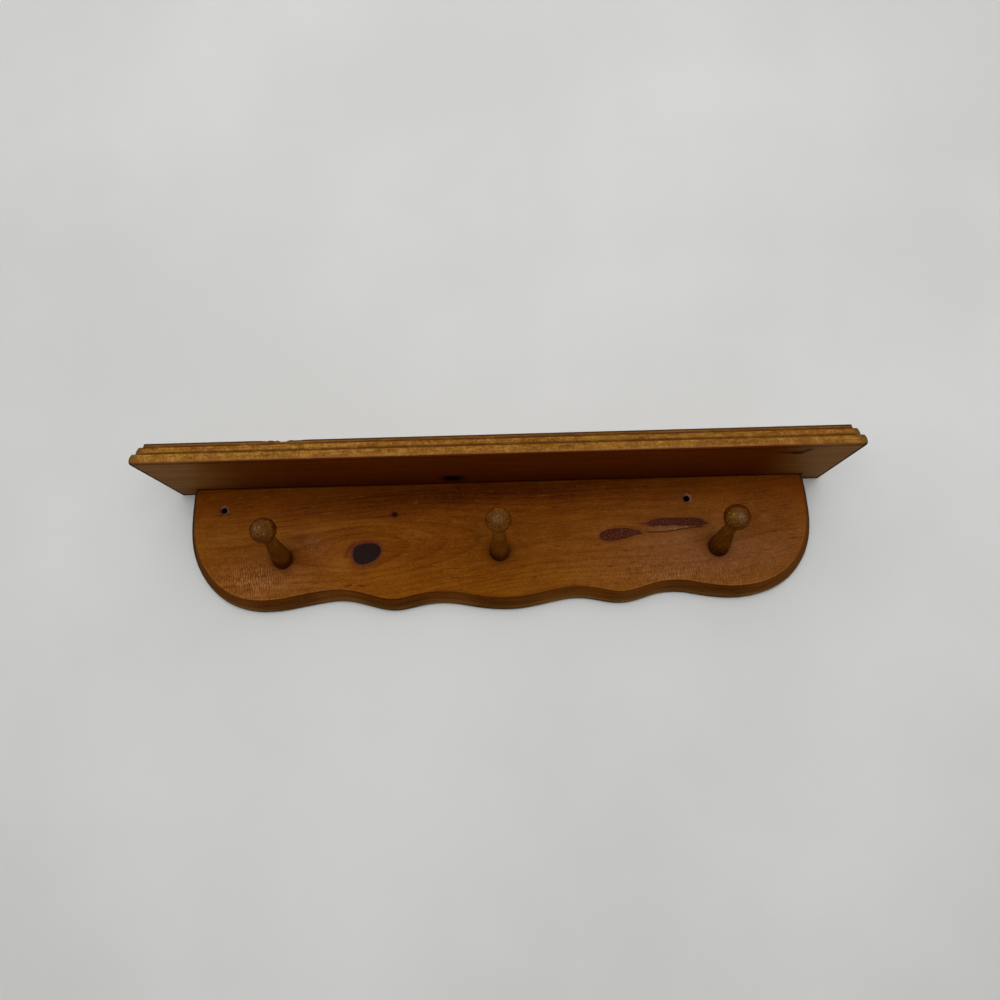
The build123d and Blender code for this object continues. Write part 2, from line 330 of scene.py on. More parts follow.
def from_outline(p, loop):
    """Distance from a closed outline, negative inside."""
    a, b = np.array(loop, float), np.roll(np.array(loop, float), -1, 0)
    ab, ap = b - a, p[:, None] - a[None]
    t = np.clip((ap * ab).sum(2) / (ab * ab).sum(1), 0, 1)
    d = np.linalg.norm(ap - ab * t[..., None], axis=2).min(1)
    return np.where(in_loop(p, a), -d, d)


def from_line(p, line):
    """Distance from an open line, and how far along it, 0 to 1."""
    a, b = np.array(line[:-1], float), np.array(line[1:], float)
    ab, ap = b - a, p[:, None] - a[None]
    t = np.clip((ap * ab).sum(2) / (ab * ab).sum(1), 0, 1)
    d = np.linalg.norm(ap - ab * t[..., None], axis=2)
    i = d.argmin(1)
    return d[np.arange(len(p)), i], (i + t[np.arange(len(p)), i]) / len(a)


BEVEL = (8.2, 14.4)  # the bevel along the curved edge: set-in on the face, and depth from it


def board_mesh():
    shell = Shell()
    curve = spline(OUTLINE + [0, SHELF_LOW])
    n = 720
    t = np.linspace(0, 1, n + 1)
    p, d = curve(t)
    p[:, 1] = np.maximum(p[:, 1], -89.99)
    inward = np.stack([-d[:, 1], d[:, 0]], 1)
    arc = t * curve.length
    wob = waves(11, 9, 70)
    wob2 = waves(12, 3, 12)
    mark_level = np.clip(0.5 + 0.55 * wob(arc) + 0.25 * wob2(arc), 0, 1.3)

    # section from the back edge to the raised face: (inset, y) for each point of the curve
    rows = []

    def section(inset, y):
        inset = np.broadcast_to(inset, p.shape[:1]).astype(float)
        y = np.broadcast_to(y, p.shape[:1]).astype(float)
        q = p + inward * inset[:, None]
        for e in (0, -1):  # the ends stop exactly at the joint with the shelf
            q[e] += d[e] * (SHELF_LOW - q[e, 1]) / d[e, 1]
        rows.append(np.stack([q[:, 0], y, q[:, 1]], 1))

    ease = 0.25 + 0.3 * mark_level
    section(ease, 0)
    section(ease * 0.3, -ease * 0.3)
    section(0, -ease)
    section(0.03 * (1 + wob2(arc)), -2.0)
    # steep bevel from the narrow square edge up to the face, both arrises worn round
    run, deep = BEVEL
    slant = math.hypot(run, deep)
    back = 0.55 + 0.35 * mark_level
    for u in (0, 0.25, 0.5, 0.75, 1):
        y0 = STOCK - deep
        section(u * u * back * run / slant, -(y0 - (1 - u) ** 2 * back + u * u * back * deep / slant))
    for f in np.linspace(0.14, 0.90, 9):
        section(run * f + (0.05 * wob2(arc) - 0.02) * math.sin(math.pi * f), -(STOCK - deep + deep * f))
    r = 0.35 + 0.55 * mark_level
    for u in (0, 0.2, 0.4, 0.6, 0.8, 1):
        section(run - (1 - u) ** 2 * r * run / slant + u * u * r, -(STOCK - (1 - u) ** 2 * r * deep / slant))
    section(run + r + 0.8, -STOCK)
    rows = np.array(rows)
    shell.grid(rows, (0.004, 0.105, 0.996, 0.265))
    inner = rows[-1][:, [0, 2]]
    back = rows[0][:, [0, 2]]

    # wall-screw holes, countersunk and a little ragged
    holes_front, holes_back = [], []
    th = np.linspace(0, 2 * math.pi, 40, endpoint=False)
    for i, hx in enumerate(HOLE_X):
        rag = waves(30 + i, 0.6, 2.5)(th * 1.3) * 0.16 * np.sin(th / 2) ** 0.2
        ring = lambda rr, y: np.stack([hx + rr * np.cos(th), np.full_like(th, y), rr * np.sin(th)], 1)
        rr0 = 4.25 + rag
        shell.grid(
            [ring(rr0, -19.05), ring(rr0 * 0.965, -18.93), ring(3.5 + rag * 0.6, -18.3), ring(2.95 + rag * 0.4, -17.75),
             ring(2.5 + 0 * th, -17.3), ring(2.4 + 0 * th, -16.8), ring(2.4 + 0 * th, -10.0), ring(2.4 + 0 * th, -0.4),
             ring(2.6 + 0.1 * rag, 0)],
            (0.01 + 0.14 * i, 0.01, 0.13 + 0.14 * i, 0.05), closed=True)
        holes_front.append(np.stack([hx + rr0 * np.cos(th), rr0 * np.sin(th)], 1))
        rb = 2.6 + 0.1 * rag
        holes_back.append(np.stack([hx + rb * np.cos(th), rb * np.sin(th)], 1))
    # tenon holes, drilled through at each peg's lean
    th = np.linspace(0, 2 * math.pi, 56, endpoint=False)
    for i, (x, z, tilt, turn) in enumerate(PEGS.values()):
        o, a, e1, e2 = peg_frame(x, z, tilt, turn)
        wall = []
        for y in (-STOCK, -9.0, -0.35, 0.0):
            rr = 6.4 if y < -0.1 else 6.55
            q = rr * (np.cos(th)[:, None] * e1 + np.sin(th)[:, None] * e2)
            s = (y + STOCK - q[:, 1]) / a[1]
            w = o + q + s[:, None] * a
            w[:, 1] = y
            wall.append(w)
        shell.grid(wall, (0.30 + 0.14 * i, 0.01, 0.42 + 0.14 * i, 0.05), closed=True)
        holes_front.append(wall[0][:, [0, 2]])
        holes_back.append(wall[-1][:, [0, 2]])

    extra = [
        (BIG_AT[0] - 3, BIG_AT[1], 21, 14, 0.8),
        (*PIN_AT, 6, 5, 0.5),
        (104, -30, 24, 9, 0.7),
        (152, -23, 34, 10, 0.7),
        (-34.3, 13.7, 4, 3, 0.5),
    ]
    shell.flat_face(inner, holes_front, lambda q: np.stack([q[:, 0], np.full(len(q), -19.05), q[:, 1]], 1),
                    (0.004, 0.49, 0.996, 0.996), 2.2, extra)
    shell.flat_face(back, holes_back, lambda q: np.stack([q[:, 0], np.zeros(len(q)), q[:, 1]], 1),
                    (0.004, 0.275, 0.996, 0.48), 3.2)

    # top edge under the shelf, with the pilot holes for the shelf's screws
    left, right = rows[:, 0], rows[:, -1]
    loop = np.r_[left[:, :2], right[::-1, :2]]
    pilots = []
    th = np.linspace(0, 2 * math.pi, 24, endpoint=False)
    for i, sx in enumerate(SCREW_X):
        ring = lambda rr, z: np.stack([sx + rr * np.cos(th), SCREW_Y + rr * np.sin(th), np.full_like(th, z)], 1)
        shell.grid([ring(2.15, SHELF_LOW), ring(2.15, 6.0), ring(2.15, -6.9)],
                   (0.73 + 0.05 * i, 0.01, 0.77 + 0.05 * i, 0.05), closed=True)
        end = ring(2.15, -6.9)
        shell.add(np.r_[end, [[sx, SCREW_Y, -6.9]]], [(k, (k + 1) % 24, 24) for k in range(24)],
                  np.r_[end, [[sx, SCREW_Y, 0]]][:, :2], (0.90 + 0.03 * i, 0.01, 0.92 + 0.03 * i, 0.03))
        pilots.append(ring(2.15, SHELF_LOW)[:, :2])
    shell.flat_face(loop, pilots, lambda q: np.stack([q[:, 0], q[:, 1], np.full(len(q), SHELF_LOW)], 1),
                    (0.004, 0.06, 0.996, 0.095), 5.0)
    return shell.mesh("back_board_wood")


def peg_frame(x, z, tilt, turn):
    """Seat point, axis and the two directions square to it, for a peg."""
    ct, st = math.cos(math.radians(tilt)), math.sin(math.radians(tilt))
    cu, su = math.cos(math.radians(turn)), math.sin(math.radians(turn))
    a = np.array([ct * su, -ct * cu, st])
    e1 = np.array([cu, su, 0.0])
    return np.array([x, -STOCK, z]), a, e1, np.cross(a, e1)


def bend_round(x, z, knots):
    """Height in the straight log of a point (x, z): fibres part round each knot and close again."""
    w = np.array(z, float)
    for kx, kz, lx, lz, b, slope in knots:
        dz = z - (kz + slope * (x - kx))
        g = np.exp(-((x - kx) / lx) ** 2 - (dz / lz) ** 2)
        w = w - b * dz * g
    return w


def board_wood(me):
    """Grain, knot, tone and edge attributes of the back board, with painted shade and painted sheen among the tone
    ones.
    """
    p = places(me)
    x, y, z = p.T
    # the pith runs behind the face at the height of the knots, and rises a little to the right
    ax_z = -31.0 + 0.065 * x + 5.0 * waves(41, 180, 500)(x)
    ax_y = 47.0 + 6.0 * waves(42, 200, 600)(x)
    depth = np.clip((ax_y - y) / (ax_y + STOCK), 0.55, 1)  # knots narrow towards the pith
    knots = [
        (*BIG_AT, 30, 15, 0.80, 0.08),
        (*PIN_AT, 16, 6, 0.60, 0.04),
        (103.0, -30.0, 30, 9, 0.55, 0.05),
        (152.0, -22.5, 36, 10, 0.55, 0.02),
        (-150.0, -14.0, 60, 12, -0.25, 0.05),
    ]
    zw = bend_round(x, z, knots)
    zw = zw + 1.4 * waves(43, 60, 240, dims=2)(np.stack([x, z * 2.5], 1)) + 0.35 * waves(44, 18, 60, dims=2)(np.stack([x, z * 3], 1))
    ring = np.hypot(ax_y - y, zw - ax_z) + 0.016 * x + 0.5 * waves(45, 90, 300)(x)
    around = np.arctan2(zw - ax_z, ax_y - y) * 60
    attribute(me, "grain", np.stack([x, ring, around], 1) * MM)

    # knots narrow and lean towards the pith; the spike knots are cut along their length and stay shallow
    f = ((y + STOCK) / (47.0 + STOCK))[:, None]
    size = (1 - 0.8 * f)
    face = y < -16
    middle = np.array(BIG_AT)
    q = (np.stack([x, z], 1) - middle - f * [0.0, 2.0]) / size
    attribute(me, "knot_big", from_outline(q + middle, KNOT_BIG) * size[:, 0])
    attribute(me, "knot_pin", np.where(face, np.hypot(x - PIN_AT[0], (z - PIN_AT[1]) * 1.1) - 2.3, 9.0))
    flat = np.stack([x, z], 1)
    attribute(me, "spike_a", np.where(face, from_outline(flat, SPIKE_A), 9.0))
    attribute(me, "spike_b", np.where(face, from_outline(flat, SPIKE_B), 9.0))
    attribute(me, "chalky", np.where(face, from_outline(flat, CHALKY), 9.0))
    line = np.array(SHAKE)
    attribute(me, "shake", np.where(face & (x > 121) & (x < 181), z - np.interp(x, line[:, 0], line[:, 1]), 9.0))
    attribute(me, "crack", np.where(face, from_line(flat, CRACK)[0], 9.0))

    # slow lights and darks of the face: pale grain bands and tone round the knots, painted shade darkening the top
    # under the shelf, and painted lamp sheen lighter low on the left and right
    def spot(cx, cz, rx, rz):
        return np.exp(-((x - cx) / rx) ** 2 - ((z - cz) / rz) ** 2)

    band, along = from_line(flat, PALE_BAND)
    figure_shade_and_sheen = 0.17 * np.exp(-(band / 2.3) ** 2) * (0.75 + 0.25 * waves(46, 20, 70)(x)) * smooth(0, 0.06, along) * (1 - smooth(0.82, 1.0, along))
    # the dark spots near the top, under the shelf, are painted shade; the light spots near (-205, -70) and (150, -62)
    # are painted lamp sheen
    figure_shade_and_sheen += 0.17 * spot(-136, -50, 13, 8) + 0.07 * spot(-205, -70, 38, 16) + 0.05 * spot(150, -62, 55, 18)
    figure_shade_and_sheen -= 0.15 * spot(-213.3, -69.5, 9, 2.6) + 0.09 * spot(-150, 2, 60, 12) + 0.05 * spot(40, 8, 120, 9)
    figure_shade_and_sheen -= 0.09 * spot(-75, -38, 20, 7) + 0.05 * spot(-172, -29, 7, 7) + 0.25 * spot(5, 13, 125, 13) + 0.10 * spot(-95, -2, 45, 14) + 0.045 * spot(0, -52, 105, 18)
    figure_shade_and_sheen -= 0.055 * spot(240, -35, 30, 40) + 0.07 * spot(-45, 4, 42, 9) + 0.03 * spot(-48, -43, 30, 14) + 0.04 * spot(-240, -72, 12, 10)
    figure_shade_and_sheen += 0.035 * spot(113, -34, 28, 14) + 0.04 * spot(113, 6, 40, 9) + 0.06 * spot(122, -76, 24, 8) + 0.05 * spot(-207, -75, 16, 9)
    figure_shade_and_sheen += 0.10 * spot(165, -38, 34, 11) + 0.03 * spot(215, -45, 30, 22) + 0.04 * spot(60, -70, 40, 14) + 0.07 * spot(95, -22, 18, 9)
    attribute(me, "figure_shade_and_sheen", figure_shade_and_sheen)
    # pink by the left peg and at the right end; the broad spots low on the left and lower right are painted lamp sheen
    attribute(me, "pink_and_sheen", np.clip(0.9 * spot(-163, -32, 15, 9) + 0.55 * spot(-200, -60, 45, 20) + 1.0 * spot(165, -50, 80, 28)
                                  + 0.55 * spot(240, -35, 30, 40), 0, 1))
    # painted shade: darker and redder towards the top, under the shelf
    attribute(me, "red_shade_top", smooth(-28, 14, z) * (0.75 + 0.25 * smooth(-150, -230, x)))
    attribute(me, "golden", np.clip(spot(0, -85, 120, 45) + 0.5 * spot(-60, -80, 60, 30), 0, 1))
    # where the painted lamp sheen falls, low on the left and right, and by the left peg: there the planer's chatter
    # marks show
    attribute(me, "chatter_sheen", np.clip(1.35 * spot(-212, -62, 36, 19) + spot(140, -66, 66, 19) * 0.9 + 0.6 * spot(-160, -34, 16, 12) + 0.35 * spot(215, -60, 40, 26), 0, 1.35))

    # distance in from the outline, from the section's depth or the nearest outline point
    curve = spline(OUTLINE + [0, SHELF_LOW])
    q, _ = curve(np.linspace(0, 1, 1500))
    near = np.full(len(p), 1e9)
    low = np.zeros(len(p))
    _, way = curve(np.linspace(0, 1, 1500))
    for s in range(0, len(q), 50):
        d = np.hypot(x[:, None] - q[None, s:s + 50, 0], z[:, None] - q[None, s:s + 50, 1])
        i = d.argmin(1)
        closer = d[np.arange(len(p)), i] < near
        near = np.where(closer, d[np.arange(len(p)), i], near)
        low = np.where(closer, way[s + i, 0], low)  # the outline runs to the right where it faces down
    attribute(me, "inset", near)
    attribute(me, "faces_down", np.clip(low, 0, 1))
    csk = np.min([np.hypot(x - hx, z) for hx in HOLE_X], axis=0)
    attribute(me, "hole", np.where(y < -0.1, csk, 9.0))
    foot = np.min([np.hypot(x - px, (z - pz) * 0.97) for px, pz, *_ in PEGS.values()], axis=0)
    attribute(me, "foot", foot)


# ------------------------------------------------------------------ shelf board
def moulding():
    """(set-in, height) points from the underside to the top."""
    pts = [(0.90, 0.0)]
    pts += arc3((0.90, 0.0), (0.22, 1.15), (0.0, 2.80), 5)[1:]
    pts += arc3((0.0, 2.80), (0.30, 5.60), (1.30, 8.45), 8)[1:]
    pts += [(2.0, 8.72), (2.8, 9.02), (3.30, 9.20)]
    pts += arc3((3.30, 9.20), (3.70, 12.20), (4.75, 14.95), 8)[1:]
    pts += [(5.4, 15.2), (6.2, 15.5), (6.85, 15.75)]
    pts += [(6.98, 16.4), (7.12, 17.1), (7.25, 17.8), (7.35, 18.45)]
    pts += arc3((7.35, 18.45), (7.55, 18.88), (7.95, 19.05), 4)[1:]
    return np.maximum(pts, 0)


def shelf_mesh():
    shell = Shell()
    prof = moulding()
    n_front, n_side, n_turn = 620, 96, 5
    rows = []
    for s, h in prof:
        path = []
        # back left corner, rounded in plan, then the end, the mitre, the front and back again
        if s < 2:
            a0 = math.acos((2 - s) / 2)
            a = np.linspace(math.pi / 2, a0, n_turn)
            path += [(-X_END + 2 - 2 * math.cos(v), -2 + 2 * math.sin(v)) for v in a]
        else:
            a = np.linspace(math.pi / 2, 0, n_turn)
            path += [(-X_END + s + 0.25 - 0.25 * math.cos(v), -0.25 + 0.25 * math.sin(v)) for v in a]
        y0 = path[-1][1]
        rc = 0.55  # the mitred corner is worn to a small radius
        ys = np.linspace(y0, -SHELF_DEPTH + s + rc, n_side)[1:]
        path += [(-X_END + s, v) for v in ys]
        a = np.linspace(0, math.pi / 2, n_turn)[1:]
        path += [(-X_END + s + rc - rc * math.cos(v), -SHELF_DEPTH + s + rc - rc * math.sin(v)) for v in a]
        xs = np.linspace(-X_END + s + rc, X_END - s - rc, n_front)[1:]
        path += [(v, -SHELF_DEPTH + s) for v in xs]
        m = len(path)
        half = path[:n_turn + n_side - 1 + n_turn - 1]
        path += [(-u, v) for u, v in reversed(half[:-1])]
        rows.append([(u, v, SHELF_LOW + h) for u, v in path])
    rows = np.array(rows)

    # wear: the bead's lower corner and the square's top corner are dented here and there
    x, y = rows[..., 0], rows[..., 1]
    arc = np.where(np.abs(x) >= X_END - 8.2, np.sign(x) * (X_END - y - SHELF_DEPTH), x)
    h = prof[:, 1][:, None]
    dent = np.clip(waves(51, 4, 30)(arc).reshape(x.shape) - 0.35, 0, 1) * 0.55
    dent = dent + np.clip(waves(52, 1.5, 5)(arc).reshape(x.shape) - 0.75, 0, 1) * 0.8
    low = np.exp(-((h - 0.2) / 0.9) ** 2)
    high = np.exp(-((h - 18.9) / 0.7) ** 2)
    front = (y < -SHELF_DEPTH + 8.5)
    notch = front * np.exp(-((x + 168.3) / 3.4) ** 4) * 1.25
    notch = notch + front * smooth(-190, -183, x) * (1 - smooth(-156, -148, x)) \
        * np.clip(0.30 + 0.5 * waves(53, 2.0, 9)(x).reshape(x.shape), 0, 0.9)
    end_notch = (np.abs(x) > X_END - 9) * np.clip(waves(54, 2.5, 12)(y).reshape(x.shape) - 0.2, 0, 1) * 0.7
    down = high * (dent * 0.5 + notch * 0.85 + end_notch * 0.4)
    push = low * (dent * 0.45) + high * (dent * 0.4 + notch * 0.45 + end_notch * 0.4)
    push[-1] += notch[-1] * 2.6
    lift = low * (dent * 0.35 + end_notch * 0.5)
    cx = np.clip(x, -X_END + 12, X_END - 12)
    cy = np.maximum(y, -SHELF_DEPTH + 12)
    to = np.stack([cx - x, cy - y], -1)
    to /= np.maximum(np.linalg.norm(to, axis=-1, keepdims=True), 1e-9)
    back_edge = (y > -0.3)[..., None]
    rows[..., :2] += np.where(back_edge, 0, to * push[..., None])
    rows[..., 2] += np.where(back_edge[..., 0], 0, lift - down)
    rows[0, :, 2] = SHELF_LOW
    rows[-1, :, 2] = SHELF_TOP
    shell.grid(rows, (0.004, 0.165, 0.996, 0.385))

    # top with counterbores, underside with the screws' clearance holes
    th = np.linspace(0, 2 * math.pi, 40, endpoint=False)
    top_holes, low_holes = [], []
    for i, sx in enumerate(SCREW_X):
        ring = lambda rr, z: np.stack([sx + rr * np.cos(th), SCREW_Y + rr * np.sin(th), np.full_like(th, z)], 1)
        seat = SHELF_TOP - 6.35
        rings = [ring(4.95, SHELF_TOP), ring(4.81, SHELF_TOP - 0.15), ring(4.81, seat), ring(4.2, seat),
                 ring(4.2, seat - 0.3), ring(2.15, seat - 2.36), ring(2.15, SHELF_LOW)]
        shell.grid(rings, (0.01 + 0.2 * i, 0.01, 0.19 + 0.2 * i, 0.07), closed=True)
        top_holes.append(rings[0][:, :2])
        low_holes.append(rings[-1][:, :2])
    shell.flat_face(rows[-1][:, :2], top_holes,
                    lambda q: np.stack([q[:, 0], q[:, 1], np.full(len(q), SHELF_TOP)], 1),
                    (0.004, 0.70, 0.996, 0.996), 2.8, keep_off=0.6)
    extra = [(-38.5, -34.9, 16, 12, 1.0), (238.0, -86.0, 18, 9, 0.8)]
    shell.flat_face(rows[0][:, :2], low_holes,
                    lambda q: np.stack([q[:, 0], q[:, 1], np.full(len(q), SHELF_LOW)], 1),
                    (0.004, 0.395, 0.996, 0.69), 2.8, extra, keep_off=0.6)
    # back edge
    left, right = rows[:, 0], rows[:, -1]
    loop = np.r_[left[:, [0, 2]], right[::-1][:, [0, 2]]]
    shell.flat_face(loop, [], lambda q: np.stack([q[:, 0], np.zeros(len(q)), q[:, 1]], 1),
                    (0.004, 0.085, 0.996, 0.155), 4.0)
    return shell.mesh("shelf_board_wood")


def shelf_wood(me):
    p = places(me)
    x, y, z = p.T
    ax_y = -66.0 + 8 * waves(61, 200, 600)(x)
    ax_z = SHELF_LOW + 78.0 + 6 * waves(62, 200, 500)(x)
    low_knot = (-38.5, -34.9)
    streak = (237.0, -83.8)
    yw = bend_round(x, y, [
        (low_knot[0], low_knot[1], 22, 12, 0.7, 0.0),
        (streak[0], streak[1], 26, 8, 0.5, 0.0),
        (110.0, -60.0, 34, 12, 0.5, 0.02),
    ])
    yw = yw + 1.5 * waves(63, 60, 260, dims=2)(np.stack([x, y * 2.5], 1)) + 0.4 * waves(64, 16, 60, dims=2)(np.stack([x, y * 3], 1))
    ring = np.hypot(yw - ax_y, z - ax_z) + 0.014 * x + 0.6 * waves(65, 90, 300)(x)
    around = np.arctan2(yw - ax_y, z - ax_z) * 70
    attribute(me, "grain", np.stack([x, ring, around], 1) * MM)
    under = z < SHELF_LOW + 3
    k1 = np.hypot((x - low_knot[0]) / 7.4, (y - low_knot[1]) / 6.6)
    attribute(me, "knot_big", np.where(under, k1, 9.0))
    flat = np.stack([x, y], 1)
    blot = [(231.0, -85.5), (234.0, -82.5), (238.5, -81.0), (242.0, -81.5), (242.6, -84.0), (241.8, -86.8), (236.5, -87.2)]
    tail = [(241.0, -84.5), (243.0, -88.5), (244.6, -92.5)]
    d = np.minimum(from_outline(flat, blot), from_line(flat, tail)[0] - 1.1)
    d = np.minimum(d, from_line(flat, [(224.0, -86.0), (232.0, -85.0)])[0] - 0.5)
    attribute(me, "spike_a", np.where(under, d, 9.0))
    attribute(me, "dot", np.where(under, np.hypot((x - 276.0) / 1.0, (y + 92.0) / 2.0) - 0.9, 9.0))
    # height up the moulding and set-in from the nominal edge, for the lines in its hollows
    attribute(me, "height", (z - SHELF_LOW))
    edge = np.minimum(X_END - np.abs(x), y + SHELF_DEPTH)
    attribute(me, "inset", edge)
    attribute(me, "overhang", np.clip(smooth(-140, -262, x) * 0.35 + smooth(-205, -258, x) * 0.65 + smooth(215, 264, x), 0, 1))


# ------------------------------------------------------------------ pegs
# marks on the heads, a greenish streak then a painted highlight spot: across, up, reach across, reach up (mm), strength
HEAD_MARKS = {
    "peg_left": ((0.2, -4.6, 4.0, 3.0, 0.15), (-2.8, -1.8, 3.8, 4.6, 0.28)),
    "peg_center": ((2.6, -4.6, 3.0, 3.0, 0.20), (-0.8, -1.2, 4.6, 4.2, 0.22)),
    "peg_right": ((-4.5, -2.0, 2.4, 4.0, 0.75), (0.9, -3.4, 2.4, 4.0, 0.62)),
}
# middle of the paler end grain on each head, and how light the whole peg is
HEAD_DISC = {"peg_left": (0.4, -2.5, 0.15), "peg_center": (-0.2, -2.3, 1.0), "peg_right": (-1.4, -3.2, 0.15)}


def peg_profile():
    shank = spline([(0.0, 8.45), (4.0, 8.40), (9.0, 8.05), (17.0, 7.20), (26.0, 6.25), (35.0, 5.45),
                    (44.0, 4.85), (50.5, 4.60)])
    under = spline([(50.5, 4.60), (52.6, 5.20), (53.9, 6.90), (55.2, 8.70), (57.2, 10.00)])
    half = [(57.2, 10.00), (59.8, 10.50), (62.6, 10.05), (65.2, 8.60), (67.1, 6.20), (68.1, 3.30)]
    dome = spline(half + [(68.4, 0.0)] + [(s, -r) for s, r in reversed(half)])
    a = shank(np.linspace(0, 1, 44))[0]
    b = under(np.linspace(0, 1, 14))[0][1:]
    c = dome(np.linspace(0, 0.5, 30))[0][1:]
    return a, b, c


def peg_mesh(name, x, z, tilt, turn, seed):
    shell = Shell()
    o, a, e1, e2 = peg_frame(x, z, tilt, turn)
    n = 80
    th = np.linspace(0, 2 * math.pi, n, endpoint=False)
    radial = np.cos(th)[:, None] * e1 + np.sin(th)[:, None] * e2
    wob = waves(seed, 3, 9, dims=2)

    def ring(s, r):
        s = np.broadcast_to(s, th.shape)
        r = np.broadcast_to(r, th.shape)
        rr = r * (1 - 0.006 * np.abs(wob(np.stack([s * 0.35, 3 * np.cos(th)], 1))))
        return o + radial * rr[:, None] + s[:, None] * a

    shank, under, dome = peg_profile()
    # the foot: meridians run down to the board's face
    foot = -(8.45 * radial[:, 1]) / a[1]
    rows = [ring(foot, 8.45)]
    rows[0] = o + radial * 8.45 + foot[:, None] * a
    rows[0][:, 1] = -STOCK
    for k in (1, 2, 3, 4):
        f = k / 5
        rows.append(ring(foot * (1 - f) + 5.0 * f, 8.45 - 0.08 * f))
    for s, r in shank[3:]:
        if s > 5.2:
            rows.append(ring(s, r))
    for s, r in under:
        rows.append(ring(s, r))
    cap_from = next(i for i, (s, r) in enumerate(dome) if s > 60 and r < 8.2)
    for s, r in dome[:cap_from + 1]:
        rows.append(ring(s, r))
    shell.grid(rows, (0.004, 0.40, 0.996, 0.996), closed=True)
    cap = [ring(s, r) for s, r in dome[cap_from:-1]]
    flat = [np.stack([r * np.cos(th), r * np.sin(th)], 1) * (1 + 0.0 * s) for s, r in dome[cap_from:-1]]
    tip = o + a * dome[-1][0]
    pts = np.concatenate(cap + [tip[None]])
    uv = np.concatenate(flat + [np.zeros((1, 2))])
    quads = []
    for i in range(len(cap) - 1):
        for k in range(n):
            quads.append((i * n + k, i * n + (k + 1) % n, (i + 1) * n + (k + 1) % n, (i + 1) * n + k))
    last = (len(cap) - 1) * n
    quads += [(last + k, last + (k + 1) % n, last + n) for k in range(n)]
    shell.add(pts, quads, uv, (0.02, 0.02, 0.36, 0.36))
    # the foot's flat ring on the board, and the tenon in its hole
    seat = -(6.35 * radial[:, 1]) / a[1]
    inner = o + radial * 6.35 + seat[:, None] * a
    inner[:, 1] = -STOCK
    shell.grid([rows[0], (rows[0] + inner) / 2, inner], (0.40, 0.30, 0.96, 0.37), closed=True)
    plain = lambda s, r: o + radial * r + s * a
    low = [inner, plain(-8.0, 6.35), plain(-15.2, 6.35), plain(-16.0, 5.55)]
    shell.grid(low, (0.40, 0.18, 0.96, 0.28), closed=True)
    end = np.concatenate([plain(-16.0, 5.55), (o - 16.0 * a)[None]])
    shell.add(end, [(k, (k + 1) % n, n) for k in range(n)],
              np.stack([(end - o) @ e1, (end - o) @ e2], 1), (0.40, 0.02, 0.54, 0.16))
    me = shell.mesh(name + "_turned")
    p = places(me) - o
    s, u, v = p @ a, p @ e1, p @ e2
    turn_by = seed * 1.7
    cu, cv = u * math.cos(turn_by) + v * math.sin(turn_by), -u * math.sin(turn_by) + v * math.cos(turn_by)
    ring_d = np.hypot(cu + 22.0, cv) + 0.02 * s
    attribute(me, "grain", np.stack([s, ring_d, np.arctan2(cv, cu + 22.0) * 25], 1) * MM)
    attribute(me, "along", s)
    cx, cy, light = HEAD_DISC[name]
    attribute(me, "disc", np.hypot(u - cx, v - cy))
    attribute(me, "honey", np.full(len(p), light))
    # a greenish streak and a painted highlight spot on each head: centre and reach across the dome, seen along the axis
    def patch(cx, cy, rx, ry):
        return np.exp(-((u - cx) / rx) ** 2 - ((v - cy) / ry) ** 2) * smooth(58, 62, s)

    moss, mark_level = HEAD_MARKS[name]
    attribute(me, "moss", patch(*moss[:4]) * moss[4])
    attribute(me, "mark_level", patch(*mark_level[:4]) * mark_level[4])
    # how far each point faces down, for the painted light and shade on the head; and a spot low on the left of the head
    # and upper shank where chips and painted glints gather
    attribute(me, "lower", smooth(-0.35, 0.75, -normals(me)[:, 2]))
    attribute(me, "chip_and_glint_spot", np.exp(-((u + 6.0) / 6.0) ** 2 - ((v + 6.0) / 6.0) ** 2) * smooth(40, 50, s))
    return me


